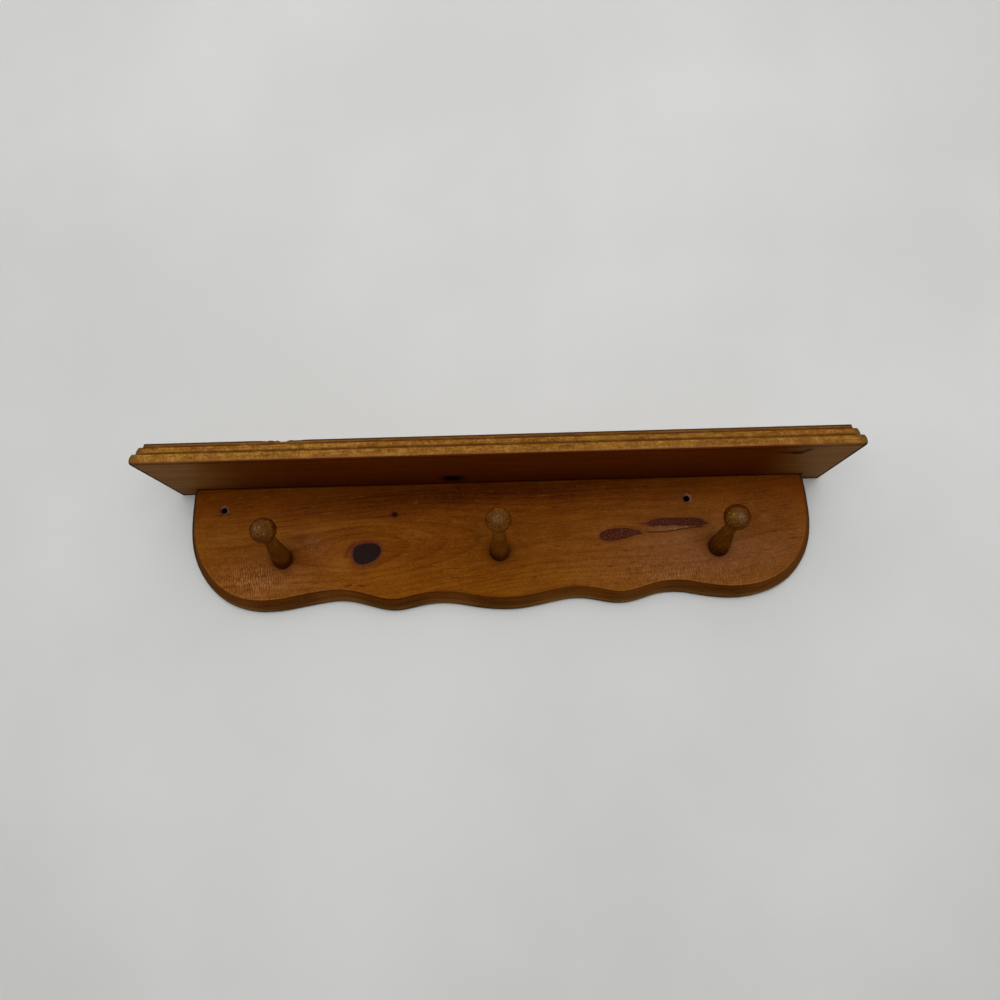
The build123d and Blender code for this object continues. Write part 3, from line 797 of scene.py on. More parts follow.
# ------------------------------------------------------------------ node helper
class Nodes:
    def __init__(self, name):
        self.mat = bpy.data.materials.new(name)
        self.mat.use_nodes = True
        self.t = self.mat.node_tree
        self.t.nodes.clear()

    def new(self, kind, **props):
        n = self.t.nodes.new(kind)
        for k, v in props.items():
            setattr(n, k, v)
        return n

    def set(self, socket, value):
        if isinstance(value, bpy.types.NodeSocket):
            self.t.links.new(value, socket)
        elif isinstance(value, (tuple, list)) and len(value) == 3 and socket.type == "RGBA":
            socket.default_value = (*value, 1)
        else:
            socket.default_value = value

    def math(self, op, a, b=None, c=None, clamp=False):
        n = self.new("ShaderNodeMath", operation=op, use_clamp=clamp)
        for s, v in zip(n.inputs, (a, b, c)):
            if v is not None:
                self.set(s, v)
        return n.outputs[0]

    def add(self, *v):
        out = v[0]
        for w in v[1:]:
            out = self.math("ADD", out, w)
        return out

    def mul(self, a, b):
        return self.math("MULTIPLY", a, b)

    def vmath(self, op, a, b=None):
        n = self.new("ShaderNodeVectorMath", operation=op)
        self.set(n.inputs[0], a)
        if b is not None:
            self.set(n.inputs[1], b)
        return n.outputs[0]

    def attr(self, name, vector=False):
        n = self.new("ShaderNodeAttribute", attribute_name=name)
        return n.outputs["Vector" if vector else "Fac"]

    def place(self):
        return self.new("ShaderNodeTexCoord").outputs["Object"]

    def split(self, v):
        n = self.new("ShaderNodeSeparateXYZ")
        self.set(n.inputs[0], v)
        return n.outputs[:3]

    def join(self, x, y, z):
        n = self.new("ShaderNodeCombineXYZ")
        for s, v in zip(n.inputs, (x, y, z)):
            self.set(s, v)
        return n.outputs[0]

    def noise(self, v, scale, detail=3.0, rough=0.5, distort=0.0):
        n = self.new("ShaderNodeTexNoise", noise_dimensions="3D")
        self.set(n.inputs["Vector"], v)
        n.inputs["Scale"].default_value = scale
        n.inputs["Detail"].default_value = detail
        n.inputs["Roughness"].default_value = rough
        n.inputs["Distortion"].default_value = distort
        return n.outputs["Fac"]

    def stretch(self, v, x, y, z):
        return self.vmath("MULTIPLY", v, (x, y, z))

    def range(self, v, a, b, c=0.0, d=1.0, smooth=True):
        n = self.new("ShaderNodeMapRange", interpolation_type="SMOOTHSTEP" if smooth else "LINEAR")
        for s, w in zip(n.inputs[:5], (v, a, b, c, d)):
            self.set(s, w)
        return n.outputs[0]

    def mix(self, fac, a, b, blend="MIX"):
        n = self.new("ShaderNodeMix", data_type="RGBA", blend_type=blend)
        self.set(n.inputs[0], fac)
        self.set(n.inputs[6], a)
        self.set(n.inputs[7], b)
        return n.outputs[2]

    def ramp(self, fac, stops, kind="LINEAR"):
        n = self.new("ShaderNodeValToRGB")
        n.color_ramp.interpolation = kind
        els = n.color_ramp.elements
        while len(els) < len(stops):
            els.new(0.5)
        for e, (at, c) in zip(els, stops):
            e.position = at
            e.color = (*c, 1) if isinstance(c, tuple) else (c, c, c, 1)
        self.set(n.inputs[0], fac)
        return n.outputs[0]

    def finish(self, colour, rough, height, distance, strength=1.0, ior=1.5, coat=0.0, coat_rough=0.2,
               specular=0.5, tint=(1, 1, 1), metallic=0.0):
        s = self.new("ShaderNodeBsdfPrincipled")
        self.set(s.inputs["Base Color"], colour)
        self.set(s.inputs["Roughness"], rough)
        s.inputs["IOR"].default_value = ior
        s.inputs["Specular IOR Level"].default_value = specular
        s.inputs["Specular Tint"].default_value = (*tint, 1)
        s.inputs["Metallic"].default_value = metallic
        s.inputs["Coat Weight"].default_value = coat
        s.inputs["Coat Roughness"].default_value = coat_rough
        if height is not None:
            b = self.new("ShaderNodeBump")
            b.inputs["Strength"].default_value = strength
            b.inputs["Distance"].default_value = distance
            self.set(b.inputs["Height"], height)
            self.t.links.new(b.outputs[0], s.inputs["Normal"])
        o = self.new("ShaderNodeOutputMaterial")
        self.t.links.new(s.outputs[0], o.inputs[0])
        return self.mat


def srgb(r, g, b):
    f = lambda c: c / 12.92 if c <= 0.04045 else ((c + 0.055) / 1.055) ** 2.4
    return tuple(f(v / 255) for v in (r, g, b))


# ------------------------------------------------------------------ materials
def wood_field(k, ring_width, seed=0.0):
    """Shared pine grain pattern: returns (tone, late wood, fibres, broad) from the grain attribute."""
    g = k.attr("grain", vector=True)
    g = k.vmath("ADD", g, (seed, seed * 0.37, seed * 0.71))
    along, ring, around = k.split(g)
    slow = k.noise(k.stretch(g, 5, 60, 22), 1.0, 2.0)
    ring = k.add(ring, k.mul(k.add(slow, -0.5), 0.0016))
    # ring widths vary from year to year
    years = k.noise(k.join(0.0, k.mul(ring, 95.0), seed), 1.0, 1.0)
    phase = k.add(k.math("DIVIDE", ring, ring_width), k.mul(years, 2.2))
    frac = k.math("FRACT", phase)
    year = k.new("ShaderNodeTexWhiteNoise", noise_dimensions="1D")
    k.set(year.inputs["W"], k.math("FLOOR", phase))
    strength = k.range(year.outputs["Value"], 0.0, 1.0, 0.35, 1.0, smooth=False)
    late = k.ramp(frac, [(0.0, 0.0), (0.42, 0.05), (0.72, 0.55), (0.88, 1.0), (0.965, 0.85), (1.0, 0.0)], "EASE")
    late = k.mul(late, strength)
    fibres = k.noise(k.stretch(g, 45, 2200, 1600), 1.0, 3.0, 0.6)
    streaks = k.noise(k.stretch(g, 10, 520, 380), 1.0, 3.0, 0.55)
    broad = k.noise(k.stretch(g, 3.5, 55, 40), 1.0, 3.0, 0.55)
    return g, late, fibres, streaks, broad


def pine_board():
    k = Nodes("pine_back_board")
    p = k.place()
    px, py, pz = k.split(p)
    g, late, fibres, streaks, broad = wood_field(k, 0.0021)
    # figure_shade_and_sheen: grain figure with painted shade under the shelf and painted lamp sheen low on the left and
    # right
    figure_shade_and_sheen, down = k.attr("figure_shade_and_sheen"), k.attr("faces_down")
    onface = k.range(py, -0.0188, -0.0182, 1.0, 0.0)
    blotch = k.noise(k.stretch(p, 1.0, 1.0, 1.6), 34.0, 3.0, 0.55)
    grit = k.noise(k.stretch(p, 0.8, 1.0, 1.0), 820.0, 2.0, 0.65)
    # chatter marks of the planer: short upright dashes about 2 mm apart, kept mostly to the zones of painted lamp
    # sheen, where they glint
    chatter = k.math("SINE", k.add(k.mul(px, 2950.0), k.mul(pz, 420.0), k.mul(k.noise(p, 110.0, 2.0), 12.0)))
    dashes = k.noise(k.stretch(p, 1.0, 1.0, 0.24), 1050.0, 1.0, 0.5)
    chatter_sheen = k.mul(k.add(k.mul(chatter, 0.45), k.mul(k.add(dashes, -0.5), 3.0)), k.attr("chatter_sheen"))
    # amber stain over pine: early wood light, late wood lines darker and redder
    even = k.range(px, 0.10, 0.20, 1.0, 0.42)  # the grain runs quieter to the right
    tone = k.add(0.595, k.mul(k.mul(late, even), -0.13), k.mul(k.add(fibres, -0.5), 0.27), k.mul(k.mul(k.add(streaks, -0.5), even), 0.24),
                 k.mul(k.mul(k.add(broad, -0.5), even), 0.22), k.mul(k.add(grit, -0.5), 0.42), k.mul(chatter_sheen, 0.20), figure_shade_and_sheen)
    patchy = k.noise(k.stretch(p, 0.6, 1.0, 1.0), 250.0, 2.0, 0.5)
    tone = k.add(tone, k.mul(k.mul(k.add(patchy, -0.5), k.attr("chatter_sheen")), 0.40))
    tone = k.add(tone, k.mul(k.add(blotch, -0.5), 0.26))
    wood = k.ramp(tone, [(0.0, (0.032, 0.0060, 0.0003)), (0.30, (0.092, 0.0215, 0.0007)),
                         (0.55, (0.170, 0.0505, 0.0016)), (0.78, (0.250, 0.0900, 0.0070)),
                         (1.0, (0.372, 0.1640, 0.0300))])
    # slow drift between honey and reddish; greyer pink at the right end and by the left peg, and a painted greyish lamp
    # sheen low on the left and across the lower right
    red = k.noise(k.stretch(p, 3.2, 3.0, 9.0), 1.0, 2.0)
    wood = k.mix(k.range(red, 0.35, 0.7, 0.0, 0.45), wood, k.mix(1.0, wood, (1.06, 0.82, 0.95), "MULTIPLY"))
    wood = k.mix(k.mul(k.attr("pink_and_sheen"), 0.62), wood, k.mix(1.0, wood, (0.99, 1.23, 8.0), "MULTIPLY"))
    # painted shade under the shelf: darker and redder towards the top
    wood = k.mix(k.attr("red_shade_top"), wood, k.mix(1.0, wood, (0.93, 0.72, 0.40), "MULTIPLY"))
    wood = k.mix(k.attr("golden"), wood, k.mix(1.0, wood, (1.02, 1.03, 0.8), "MULTIPLY"))
    # painted glint: the chatter marks' crests painted bright where the lamp sheen falls
    wood = k.mix(k.mul(k.range(chatter_sheen, 0.35, 1.3, 0.0, 1.0), 0.46), wood, (0.300, 0.1480, 0.0250))
    # short dark pores and resin ducts along the grain
    dash = k.noise(k.stretch(g, 90, 1700, 1000), 1.0, 2.0, 0.5)
    where = k.range(k.noise(k.stretch(p, 1.0, 1.0, 2.0), 26.0, 2.0), 0.40, 0.62, 0.25, 1.0)
    wood = k.mix(k.mul(k.mul(k.range(dash, 0.58, 0.68, 0.0, 1.0), where), 0.55), wood, (0.054, 0.0110, 0.0007))
    bright = k.noise(k.stretch(g, 90, 1300, 800), 1.0, 2.0, 0.5)
    wood = k.mix(k.mul(k.range(bright, 0.62, 0.74, 0.0, 1.0), 0.35), wood, (0.300, 0.1250, 0.0180))

    # knots
    edge = k.noise(p, 420.0, 3.0, 0.6)
    fine = k.noise(p, 1500.0, 3.0, 0.65)
    big = k.add(k.attr("knot_big"), k.mul(k.add(edge, -0.5), 1.1))
    upper = k.range(k.add(pz, 0.0413, k.mul(k.add(px, 0.114), -0.6)), -0.010, 0.010, 0.30, 1.0)
    halo = k.mul(k.range(big, 0.0, 6.5, 1.0, 0.0), upper)
    wood = k.mix(k.mul(halo, 0.62), wood, srgb(86, 36, 20))
    rim = k.range(big, -0.4, 0.9, 0.0, 1.0)
    rim = k.mul(rim, k.range(big, 0.9, 2.4, 1.0, 0.0))
    wood = k.mix(k.mul(rim, 0.60), wood, srgb(84, 38, 30))
    crack = k.add(k.attr("crack"), k.mul(k.add(edge, -0.5), 0.8))
    wood = k.mix(k.mul(k.range(crack, 0.0, 1.8, 1.0, 0.0), 0.60), wood, srgb(66, 18, 8))
    wood = k.mix(k.mul(k.mul(k.range(crack, 1.0, 4.2, 1.0, 0.0), k.range(crack, 0.3, 1.6, 0.0, 1.0)), 0.40), wood, srgb(92, 40, 22))
    rings = k.math("SINE", k.add(k.mul(big, 3.0), k.mul(k.noise(p, 260.0, 2.0), 9.0)))
    heart = k.mix(k.range(rings, -1.0, 1.0, 0.0, 0.40), srgb(32, 21, 20), srgb(44, 31, 29))
    heart = k.mix(k.range(fine, 0.48, 0.78, 0.0, 0.40), heart, srgb(60, 38, 28))
    heart = k.mix(k.range(k.add(px, 0.114, pz, 0.0413), -0.004, 0.012, 0.0, 0.45), heart, srgb(40, 16, 14))
    inside = k.range(big, -0.45, 0.25, 1.0, 0.0)
    wood = k.mix(inside, wood, heart)
    pin = k.add(k.attr("knot_pin"), k.mul(k.add(edge, -0.5), 1.0))
    wood = k.mix(k.range(pin, 0.0, 2.8, 0.55, 0.0), wood, srgb(66, 22, 14))
    wood = k.mix(k.range(pin, -0.5, 0.3, 1.0, 0.0), wood, srgb(28, 10, 10))
    # dark resin streaks left and right of the pin knot
    dx = k.add(px, 0.0905)
    dz = k.add(pz, 0.0082, k.mul(dx, -0.09))
    sx = k.math("ABSOLUTE", dx)
    sz = k.math("ABSOLUTE", k.add(dz, k.mul(k.add(k.noise(k.stretch(p, 60, 60, 400), 1.0, 2.0), -0.5), 0.0045)))
    streak = k.mul(k.range(sx, 0.006, 0.034, 1.0, 0.0), k.range(sz, 0.0003, 0.0017, 1.0, 0.0))
    streak = k.mul(k.mul(streak, onface), k.range(k.noise(k.stretch(p, 1, 1, 3), 150.0, 2.0), 0.38, 0.55, 0.25, 1.0))
    wood = k.mix(k.mul(streak, 0.72), wood, srgb(62, 20, 8))
    # spike knots: dark red, mottled with resin
    mott = k.noise(k.stretch(p, 0.8, 1.0, 1.0), 1050.0, 2.0, 0.7)
    mottled = k.mix(k.range(mott, 0.40, 0.54, 0.0, 1.0), srgb(34, 9, 3), srgb(80, 32, 14))
    light_specks = k.noise(k.stretch(p, 0.9, 1.0, 1.0), 900.0, 3.0, 0.75)
    mottled = k.mix(k.range(light_specks, 0.56, 0.66, 0.0, 0.80), mottled, srgb(132, 86, 64))
    chalk = k.add(k.attr("chalky"), k.mul(k.add(mott, -0.5), 2.4))
    pale = k.mix(k.range(mott, 0.45, 0.62, 0.0, 1.0), srgb(104, 62, 34), srgb(150, 108, 72))
    wood = k.mix(k.mul(k.range(chalk, -1.2, 0.8, 1.0, 0.0), k.range(px, 0.1270, 0.1400, 0.20, 0.72)), wood, pale)
    for name in ("spike_a", "spike_b"):
        s = k.add(k.attr(name), k.mul(k.add(mott, -0.5), 1.8), k.mul(k.add(edge, -0.5), 1.2))
        wood = k.mix(k.mul(k.range(s, 0.0, 2.6, 1.0, 0.0), 0.42), wood, srgb(96, 42, 20))
        lip = k.range(k.math("ABSOLUTE", k.add(s, 0.7)), 0.2, 0.9, 0.75, 0.0)
        body = k.mix(k.mul(lip, 0.8), mottled, srgb(66, 20, 8))
        wood = k.mix(k.mul(k.range(s, -0.35, 0.35, 1.0, 0.0), 0.95), wood, body)
    # thin resin line under the right spike knot, small marks below the big knot, and a nick under the shelf
    line = k.math("ABSOLUTE", k.add(k.attr("shake"), k.mul(k.add(k.noise(p, 300.0, 2.0), -0.5), 0.7)))
    ends = k.mul(k.range(px, 0.1220, 0.1300, 0.0, 1.0), k.range(px, 0.1720, 0.1810, 1.0, 0.0))
    wood = k.mix(k.mul(k.mul(k.range(line, 0.25, 0.85, 1.0, 0.0), ends), 0.85), wood, srgb(52, 20, 6))
    for cx, cz, slope, half, thick in ((-0.1292, -0.0684, 0.25, 0.0040, 0.0006), (-0.1180, -0.0688, -0.06, 0.0050, 0.0004),
                                       (-0.2400, -0.0040, 0.05, 0.0110, 0.0004), (0.1990, -0.0230, 0.02, 0.0080, 0.0004)):
        mx = k.add(px, -cx)
        mz = k.add(pz, -cz, k.mul(mx, -slope))
        mark = k.mul(k.range(k.math("ABSOLUTE", mx), half * 0.4, half, 1.0, 0.0),
                     k.range(k.math("ABSOLUTE", k.add(mz, k.mul(k.add(edge, -0.5), 0.0006))), thick * 0.4, thick * 1.6, 1.0, 0.0))
        wood = k.mix(k.mul(k.mul(mark, onface), 0.80), wood, srgb(50, 18, 5))
    nick = k.add(k.mul(k.add(px, 0.0343), 0.75), k.add(pz, -0.0137))
    nick_along = k.add(k.mul(k.add(px, 0.0343), 1.0), k.mul(k.add(pz, -0.0137), -0.75))
    nick = k.mul(k.range(k.math("ABSOLUTE", nick), 0.0003, 0.0009, 1.0, 0.0),
                 k.range(k.math("ABSOLUTE", nick_along), 0.0018, 0.0030, 1.0, 0.0))
    wood = k.mix(k.mul(k.mul(nick, onface), 0.9), wood, srgb(24, 8, 5))

    # the bevel: darker than the face, partly its own darker stain and partly painted shade that grows where it faces
    # down along the lower edge; cutter lines follow the outline
    inset = k.attr("inset")
    side = k.mul(k.range(inset, 8.0, 8.5, 1.0, 0.0), k.range(py, -0.0008, -0.0004, 1.0, 0.0))
    cutter = k.noise(k.join(k.mul(px, 26.0), k.mul(inset, 0.9), k.mul(py, 900.0)), 1.0, 3.0, 0.6)
    cutter = k.add(cutter, k.mul(k.add(grit, -0.5), 0.35))
    sidecol = k.mix(k.range(cutter, 0.35, 0.65, 0.0, 1.0), (0.068, 0.0148, 0.0008), (0.150, 0.0460, 0.0046))
    steep = k.range(py, -0.0162, -0.0146, 0.0, 1.0)
    turned = k.math("POWER", down, 0.55)
    amount = k.math("MINIMUM", k.add(0.0, k.mul(turned, 0.74), k.mul(steep, 0.80)), 0.93)
    # yellower where the scallops run up into the notches and round the corners
    notch = k.range(k.math("ABSOLUTE", px), 0.200, 0.222, 0.0, 0.85)
    for at, half, top in ((-0.139, 0.030, 1.0), (-0.046, 0.030, 0.75), (0.060, 0.040, 0.95), (0.120, 0.030, 0.75)):
        notch = k.math("MAXIMUM", notch, k.range(k.math("ABSOLUTE", k.add(px, -at)), half * 0.35, half, top, 0.0))
    sidecol = k.mix(k.mul(notch, k.range(cutter, 0.30, 0.60, 1.0, 0.6)), sidecol, k.mix(1.0, sidecol, (1.85, 2.05, 2.9), "MULTIPLY"))
    wood = k.mix(k.mul(side, amount), wood, sidecol)
    # painted shade: the outer rounding of the bevel on the upright sides is painted near-black where it turns away
    upright = k.math("POWER", k.add(1.0, k.mul(down, -0.98)), 0.8)
    outer = k.mul(k.mul(k.range(inset, 2.5, 7.6, 1.0, 0.0), k.range(py, -0.0008, -0.0004, 1.0, 0.0)), k.mul(upright, k.range(px, -0.05, 0.05, 0.96, 0.55)))
    wood = k.mix(outer, wood, (0.034, 0.0165, 0.0058))
    # painted reflection: the lowest strip of the lower edge, towards the wall, is painted greyer as the pale floor's
    # reflection
    pale = k.math("POWER", k.math("MAXIMUM", k.range(inset, 1.2, 3.4, 1.0, 0.0), k.range(py, -0.0055, -0.0045, 0.0, 1.0)), 1.2)
    wood = k.mix(k.mul(k.mul(pale, down), k.range(py, -0.0004, -0.0001, 1.0, 0.0)), wood, k.mix(1.0, wood, (1.26, 2.05, 5.4), "MULTIPLY"))
    # painted shade: a thin dark line where the face's arris steps into the bevel, strongest along the lower edge
    line = k.mul(k.range(k.math("ABSOLUTE", k.add(inset, -7.80)), 0.20, 0.80, 1.0, 0.0), k.range(py, -0.0172, -0.0168, 1.0, 0.0))
    wood = k.mix(k.mul(line, k.add(0.02, k.mul(down, 0.35))), wood, (0.022, 0.0050, 0.0006))
    # painted highlight: a speckled light line along the face's arris, mostly on the lower edge and away from the middle
    paler_spots = k.mul(k.range(k.math("ABSOLUTE", k.add(inset, -8.8)), 0.2, 0.95, 1.0, 0.0),
                k.range(k.noise(p, 520.0, 3.0, 0.7), 0.46, 0.62, 0.05, 1.0))
    paler_spots = k.mul(k.mul(paler_spots, onface), k.mul(k.add(0.08, k.mul(down, 0.50)), k.range(k.math("ABSOLUTE", px), 0.05, 0.15, 0.15, 1.0)))
    wood = k.mix(paler_spots, wood, (0.300, 0.1300, 0.0300))
    # the face darkens just above the lower edge in the middle of the board
    lee = k.mul(k.mul(k.range(inset, 8.4, 12.4, 1.0, 0.0), onface), k.mul(down, k.range(k.math("ABSOLUTE", k.add(px, -0.006)), 0.055, 0.085, 1.0, 0.0)))
    wood = k.mix(k.mul(lee, 0.50), wood, (0.084, 0.0240, 0.0015))
    # the joint under the shelf: dark joint line and painted shadow in the gap, near-black
    joint = k.range(pz, 0.0180, 0.0194, 0.0, 1.0)
    wood = k.mix(k.mul(joint, 0.92), wood, (0.0060, 0.0010, 0.0004))
    # painted shade round the pegs' feet: a wide reddish halo and a darker ring at the foot
    foot = k.attr("foot")
    wood = k.mix(k.mul(k.mul(k.range(foot, 8.4, 17.0, 1.0, 0.0), onface), 0.34), wood, (0.070, 0.0130, 0.0010))
    wood = k.mix(k.mul(k.mul(k.range(foot, 8.4, 10.2, 1.0, 0.0), onface), 0.50), wood, (0.030, 0.0055, 0.0006))
    # raw wood in the countersinks, painted lit on one side and shaded on the other, with a painted shade ring round
    # them and painted shade down the holes
    hole = k.attr("hole")
    ragged = k.add(hole, k.mul(k.add(edge, -0.5), 2.4))
    hx = k.add(px, 0.2401, k.mul(k.math("GREATER_THAN", px, -0.04), -0.4032))
    lit = k.range(k.add(k.mul(hx, 0.80), k.mul(pz, 0.40)), -0.0034, 0.0030, 0.05, 1.0)
    raw = k.mix(k.range(fine, 0.38, 0.68, 0.0, 1.0), srgb(118, 80, 60), srgb(176, 140, 118))
    raw = k.mix(lit, srgb(84, 42, 26), raw)
    raw = k.mix(k.range(hole, 2.5, 3.0, 0.6, 0.0), raw, srgb(66, 30, 18))
    wood = k.mix(k.mul(k.range(hole, 3.9, 6.2, 0.35, 0.0), onface), wood, srgb(70, 28, 8))
    wood = k.mix(k.mul(k.range(ragged, 3.9, 4.8, 0.80, 0.0), k.range(py, -0.0166, -0.0172, 0.0, 1.0)), wood, raw)
    wood = k.mix(k.mul(k.range(hole, 2.35, 2.7, 1.0, 0.0), k.range(py, -0.0176, -0.0168, 0.0, 1.0)), wood, srgb(30, 12, 8))
    # the back was never stained on purpose: planed pine, greyed, with stain bled round its edge
    bare = k.ramp(k.add(tone, 0.12), [(0.0, (0.105, 0.052, 0.020)), (0.5, (0.300, 0.180, 0.085)), (1.0, (0.440, 0.300, 0.160))])
    bleed = k.add(k.range(inset, 0.0, 9.0, 1.0, 0.0), k.mul(k.add(k.noise(p, 55.0, 4.0, 0.6), -0.5), 1.5))
    bare = k.mix(k.range(bleed, 0.30, 0.75, 0.0, 0.80), bare, (0.110, 0.042, 0.009))
    bare = k.mix(k.range(k.noise(p, 14.0, 4.0, 0.6), 0.50, 0.75, 0.0, 0.35), bare, (0.130, 0.070, 0.034))
    bare = k.mix(k.mul(inside, 0.9), bare, srgb(70, 42, 28))
    back = k.range(py, -0.0006, -0.0001, 0.0, 1.0)
    colour = k.mix(back, wood, bare)

    rough = k.add(0.40, k.mul(late, -0.05), k.mul(k.add(blotch, -0.5), 0.16), k.mul(k.add(fibres, -0.5), 0.10))
    rough = k.add(rough, k.mul(back, 0.30), k.mul(inside, 0.06), k.mul(side, 0.12))
    # raised late wood, open fibres, planer ripple
    height = k.add(k.mul(fibres, 0.55), k.mul(late, 0.30), k.mul(streaks, 0.3), k.mul(chatter_sheen, 0.16), k.mul(grit, 0.45))
    height = k.add(height, k.mul(k.mul(inside, fine), 0.5))
    return k.finish(colour, rough, height, 0.00009, 0.8, specular=0.0, coat=0.03, coat_rough=0.30)


def pine_shelf():
    k = Nodes("pine_shelf")
    p = k.place()
    px, py, pz = k.split(p)
    g, late, fibres, streaks, broad = wood_field(k, 0.0027, 3.1)
    grit = k.noise(k.stretch(p, 0.75, 1.0, 1.0), 800.0, 2.0, 0.65)
    tone = k.add(0.58, k.mul(late, -0.15), k.mul(k.add(fibres, -0.5), 0.24), k.mul(k.add(streaks, -0.5), 0.28),
                 k.mul(k.add(broad, -0.5), 0.30), k.mul(k.add(grit, -0.5), 0.26))
    blotch = k.noise(k.stretch(p, 1.0, 1.4, 1.4), 34.0, 3.0, 0.55)
    tone = k.add(tone, k.mul(k.add(blotch, -0.5), 0.26))
    wood = k.ramp(tone, [(0.0, (0.030, 0.0060, 0.0005)), (0.30, (0.084, 0.0190, 0.0010)),
                         (0.55, (0.156, 0.0420, 0.0026)), (0.78, (0.225, 0.0760, 0.0080)),
                         (1.0, (0.320, 0.1300, 0.0230))])
    inset = k.attr("inset")
    up = k.attr("height")
    underside = k.range(up, 0.9, 1.7, 1.0, 0.0)
    calm = k.ramp(k.add(0.20, k.mul(tone, 0.62)), [(0.0, (0.034, 0.0048, 0.0003)), (0.30, (0.094, 0.0152, 0.0007)),
                                                   (0.55, (0.175, 0.0336, 0.0018)), (0.78, (0.252, 0.0608, 0.0056)),
                                                   (1.0, (0.358, 0.1040, 0.0160))])
    wood = k.mix(underside, wood, calm)
    # painted light: where the shelf's underside overhangs past the board it is painted lighter, greyer and greener, as
    # light and reflection off the floor
    wood = k.mix(k.mul(underside, k.attr("overhang")), wood, k.mix(1.0, wood, (1.95, 4.3, 17.0), "MULTIPLY"))
    # the moulding's faces are lighter than the flat faces, mottled, with painted shade lines in the hollows
    edge = k.mul(k.range(inset, 7.6, 8.3, 1.0, 0.0), k.range(up, 1.0, 1.7, 0.0, 1.0))
    speck = k.noise(k.stretch(p, 1.0, 1.0, 1.0), 560.0, 3.0, 0.75)
    coarse = k.noise(k.stretch(p, 0.6, 1.0, 1.0), 230.0, 2.0, 0.6)
    light = k.ramp(k.add(tone, k.mul(k.mul(k.add(speck, -0.5), 1.32), k.range(px, -0.05, 0.15, 1.0, 0.78)), k.mul(k.add(coarse, -0.5), 0.85)),
                   [(0.0, (0.060, 0.0165, 0.0010)), (0.35, (0.142, 0.0520, 0.0040)),
                    (0.6, (0.228, 0.0970, 0.0100)), (1.0, (0.380, 0.2000, 0.0340))])
    hue = k.noise(k.stretch(p, 1.0, 2.0, 4.0), 42.0, 3.0, 0.6)
    light = k.mix(k.range(hue, 0.45, 0.68, 0.0, 0.55), light, k.mix(1.0, light, (1.06, 0.84, 1.25), "MULTIPLY"))
    light = k.mix(k.range(px, -0.16, -0.05, 1.0, 0.0), light, k.mix(1.0, light, (1.13, 1.17, 1.25), "MULTIPLY"))
    wood = k.mix(edge, wood, light)
    square = k.range(up, 15.6, 16.1, 0.0, 1.0)
    wood = k.mix(k.mul(k.mul(edge, square), k.range(px, -0.270, -0.215, 0.62, 0.22)), wood, srgb(122, 76, 44))
    for at, width in ((8.95, 0.62), (15.45, 0.62)):
        hollow = k.mul(k.range(k.add(up, -at), width * 0.5, width * 4.4, 1.0, 0.0), k.range(k.add(up, -at), -1.5, -0.6, 0.0, 1.0))
        broken = k.range(k.noise(k.stretch(p, 0.4, 1, 1), 180.0, 3.0), 0.30, 0.55, 0.60, 1.0)
        wood = k.mix(k.mul(k.mul(hollow, edge), k.mul(broken, 0.92)), wood, (0.062, 0.0180, 0.0014))
    arris = k.mul(edge, k.mul(k.range(up, 1.2, 2.0, 0.3, 1.0), k.range(up, 2.0, 3.6, 1.0, 0.0)))
    wood = k.mix(k.mul(arris, 0.36), wood, srgb(140, 84, 54))
    # painted shade on the lower arris where it turns down; the ends' lower arris and the top one are darker
    ends = k.range(k.math("ABSOLUTE", px), X_END * MM - 0.0030, X_END * MM - 0.0022, 0.0, 1.0)
    # the front mouldings darken towards their mitred corners, which carry a dark line
    corner = k.add(X_END * MM - SHELF_DEPTH * MM, k.mul(k.math("ABSOLUTE", px), -1.0), k.mul(py, -1.0))
    wood = k.mix(k.mul(k.mul(k.range(corner, 0.0010, 0.0095, 1.0, 0.0), edge), 0.55), wood, (0.090, 0.0420, 0.0110))
    wood = k.mix(k.mul(k.mul(k.range(k.math("ABSOLUTE", corner), 0.0002, 0.0013, 1.0, 0.0), edge), 0.80), wood, (0.024, 0.0090, 0.0030))
    lowline = k.mul(k.range(up, 0.9, 1.6, 1.0, 0.0), k.range(inset, 2.2, 3.8, 1.0, 0.0))
    wood = k.mix(k.mul(lowline, 0.70), wood, (0.034, 0.0070, 0.0010))
    wood = k.mix(k.mul(k.mul(underside, ends), 0.90), wood, (0.016, 0.0050, 0.0016))
    heel = k.mul(underside, k.range(py, -0.0062, -0.0044, 0.0, 1.0))
    wood = k.mix(k.mul(heel, 0.80), wood, (0.020, 0.0070, 0.0020))
    topline = k.mul(k.range(k.add(up, k.mul(speck, 1.1), k.mul(coarse, 0.9)), 18.3, 19.0, 0.0, 1.0), k.range(inset, 9.4, 8.6, 0.0, 1.0))
    wood = k.mix(k.mul(topline, 0.86), wood, (0.040, 0.0150, 0.0040))
    fine = k.noise(p, 1300.0, 3.0, 0.65)
    ragged = k.noise(p, 420.0, 3.0, 0.6)
    # end grain on the two ends: darker, with pores
    endg = k.mul(k.range(k.math("ABSOLUTE", px), X_END * MM - 0.0080, X_END * MM - 0.0074, 0.0, 1.0),
                 k.mul(k.range(k.add(py, SHELF_DEPTH * MM), 0.0006, 0.0020, 0.0, 1.0), edge))
    wood = k.mix(k.mul(endg, 0.72), wood, k.mix(k.range(late, 0.2, 0.9, 0.0, 1.0), (0.150, 0.062, 0.011), (0.060, 0.0200, 0.0032)))
    # worn and chipped top arris
    chip = k.mul(k.range(up, 18.0, 18.6, 0.0, 1.0), k.range(inset, 9.0, 8.2, 0.0, 1.0))
    chip = k.mul(chip, k.range(k.noise(k.stretch(p, 1, 1, 1), 260.0, 4.0, 0.7), 0.50, 0.62, 0.0, 1.0))
    wood = k.mix(k.mul(chip, 0.75), wood, srgb(58, 40, 28))
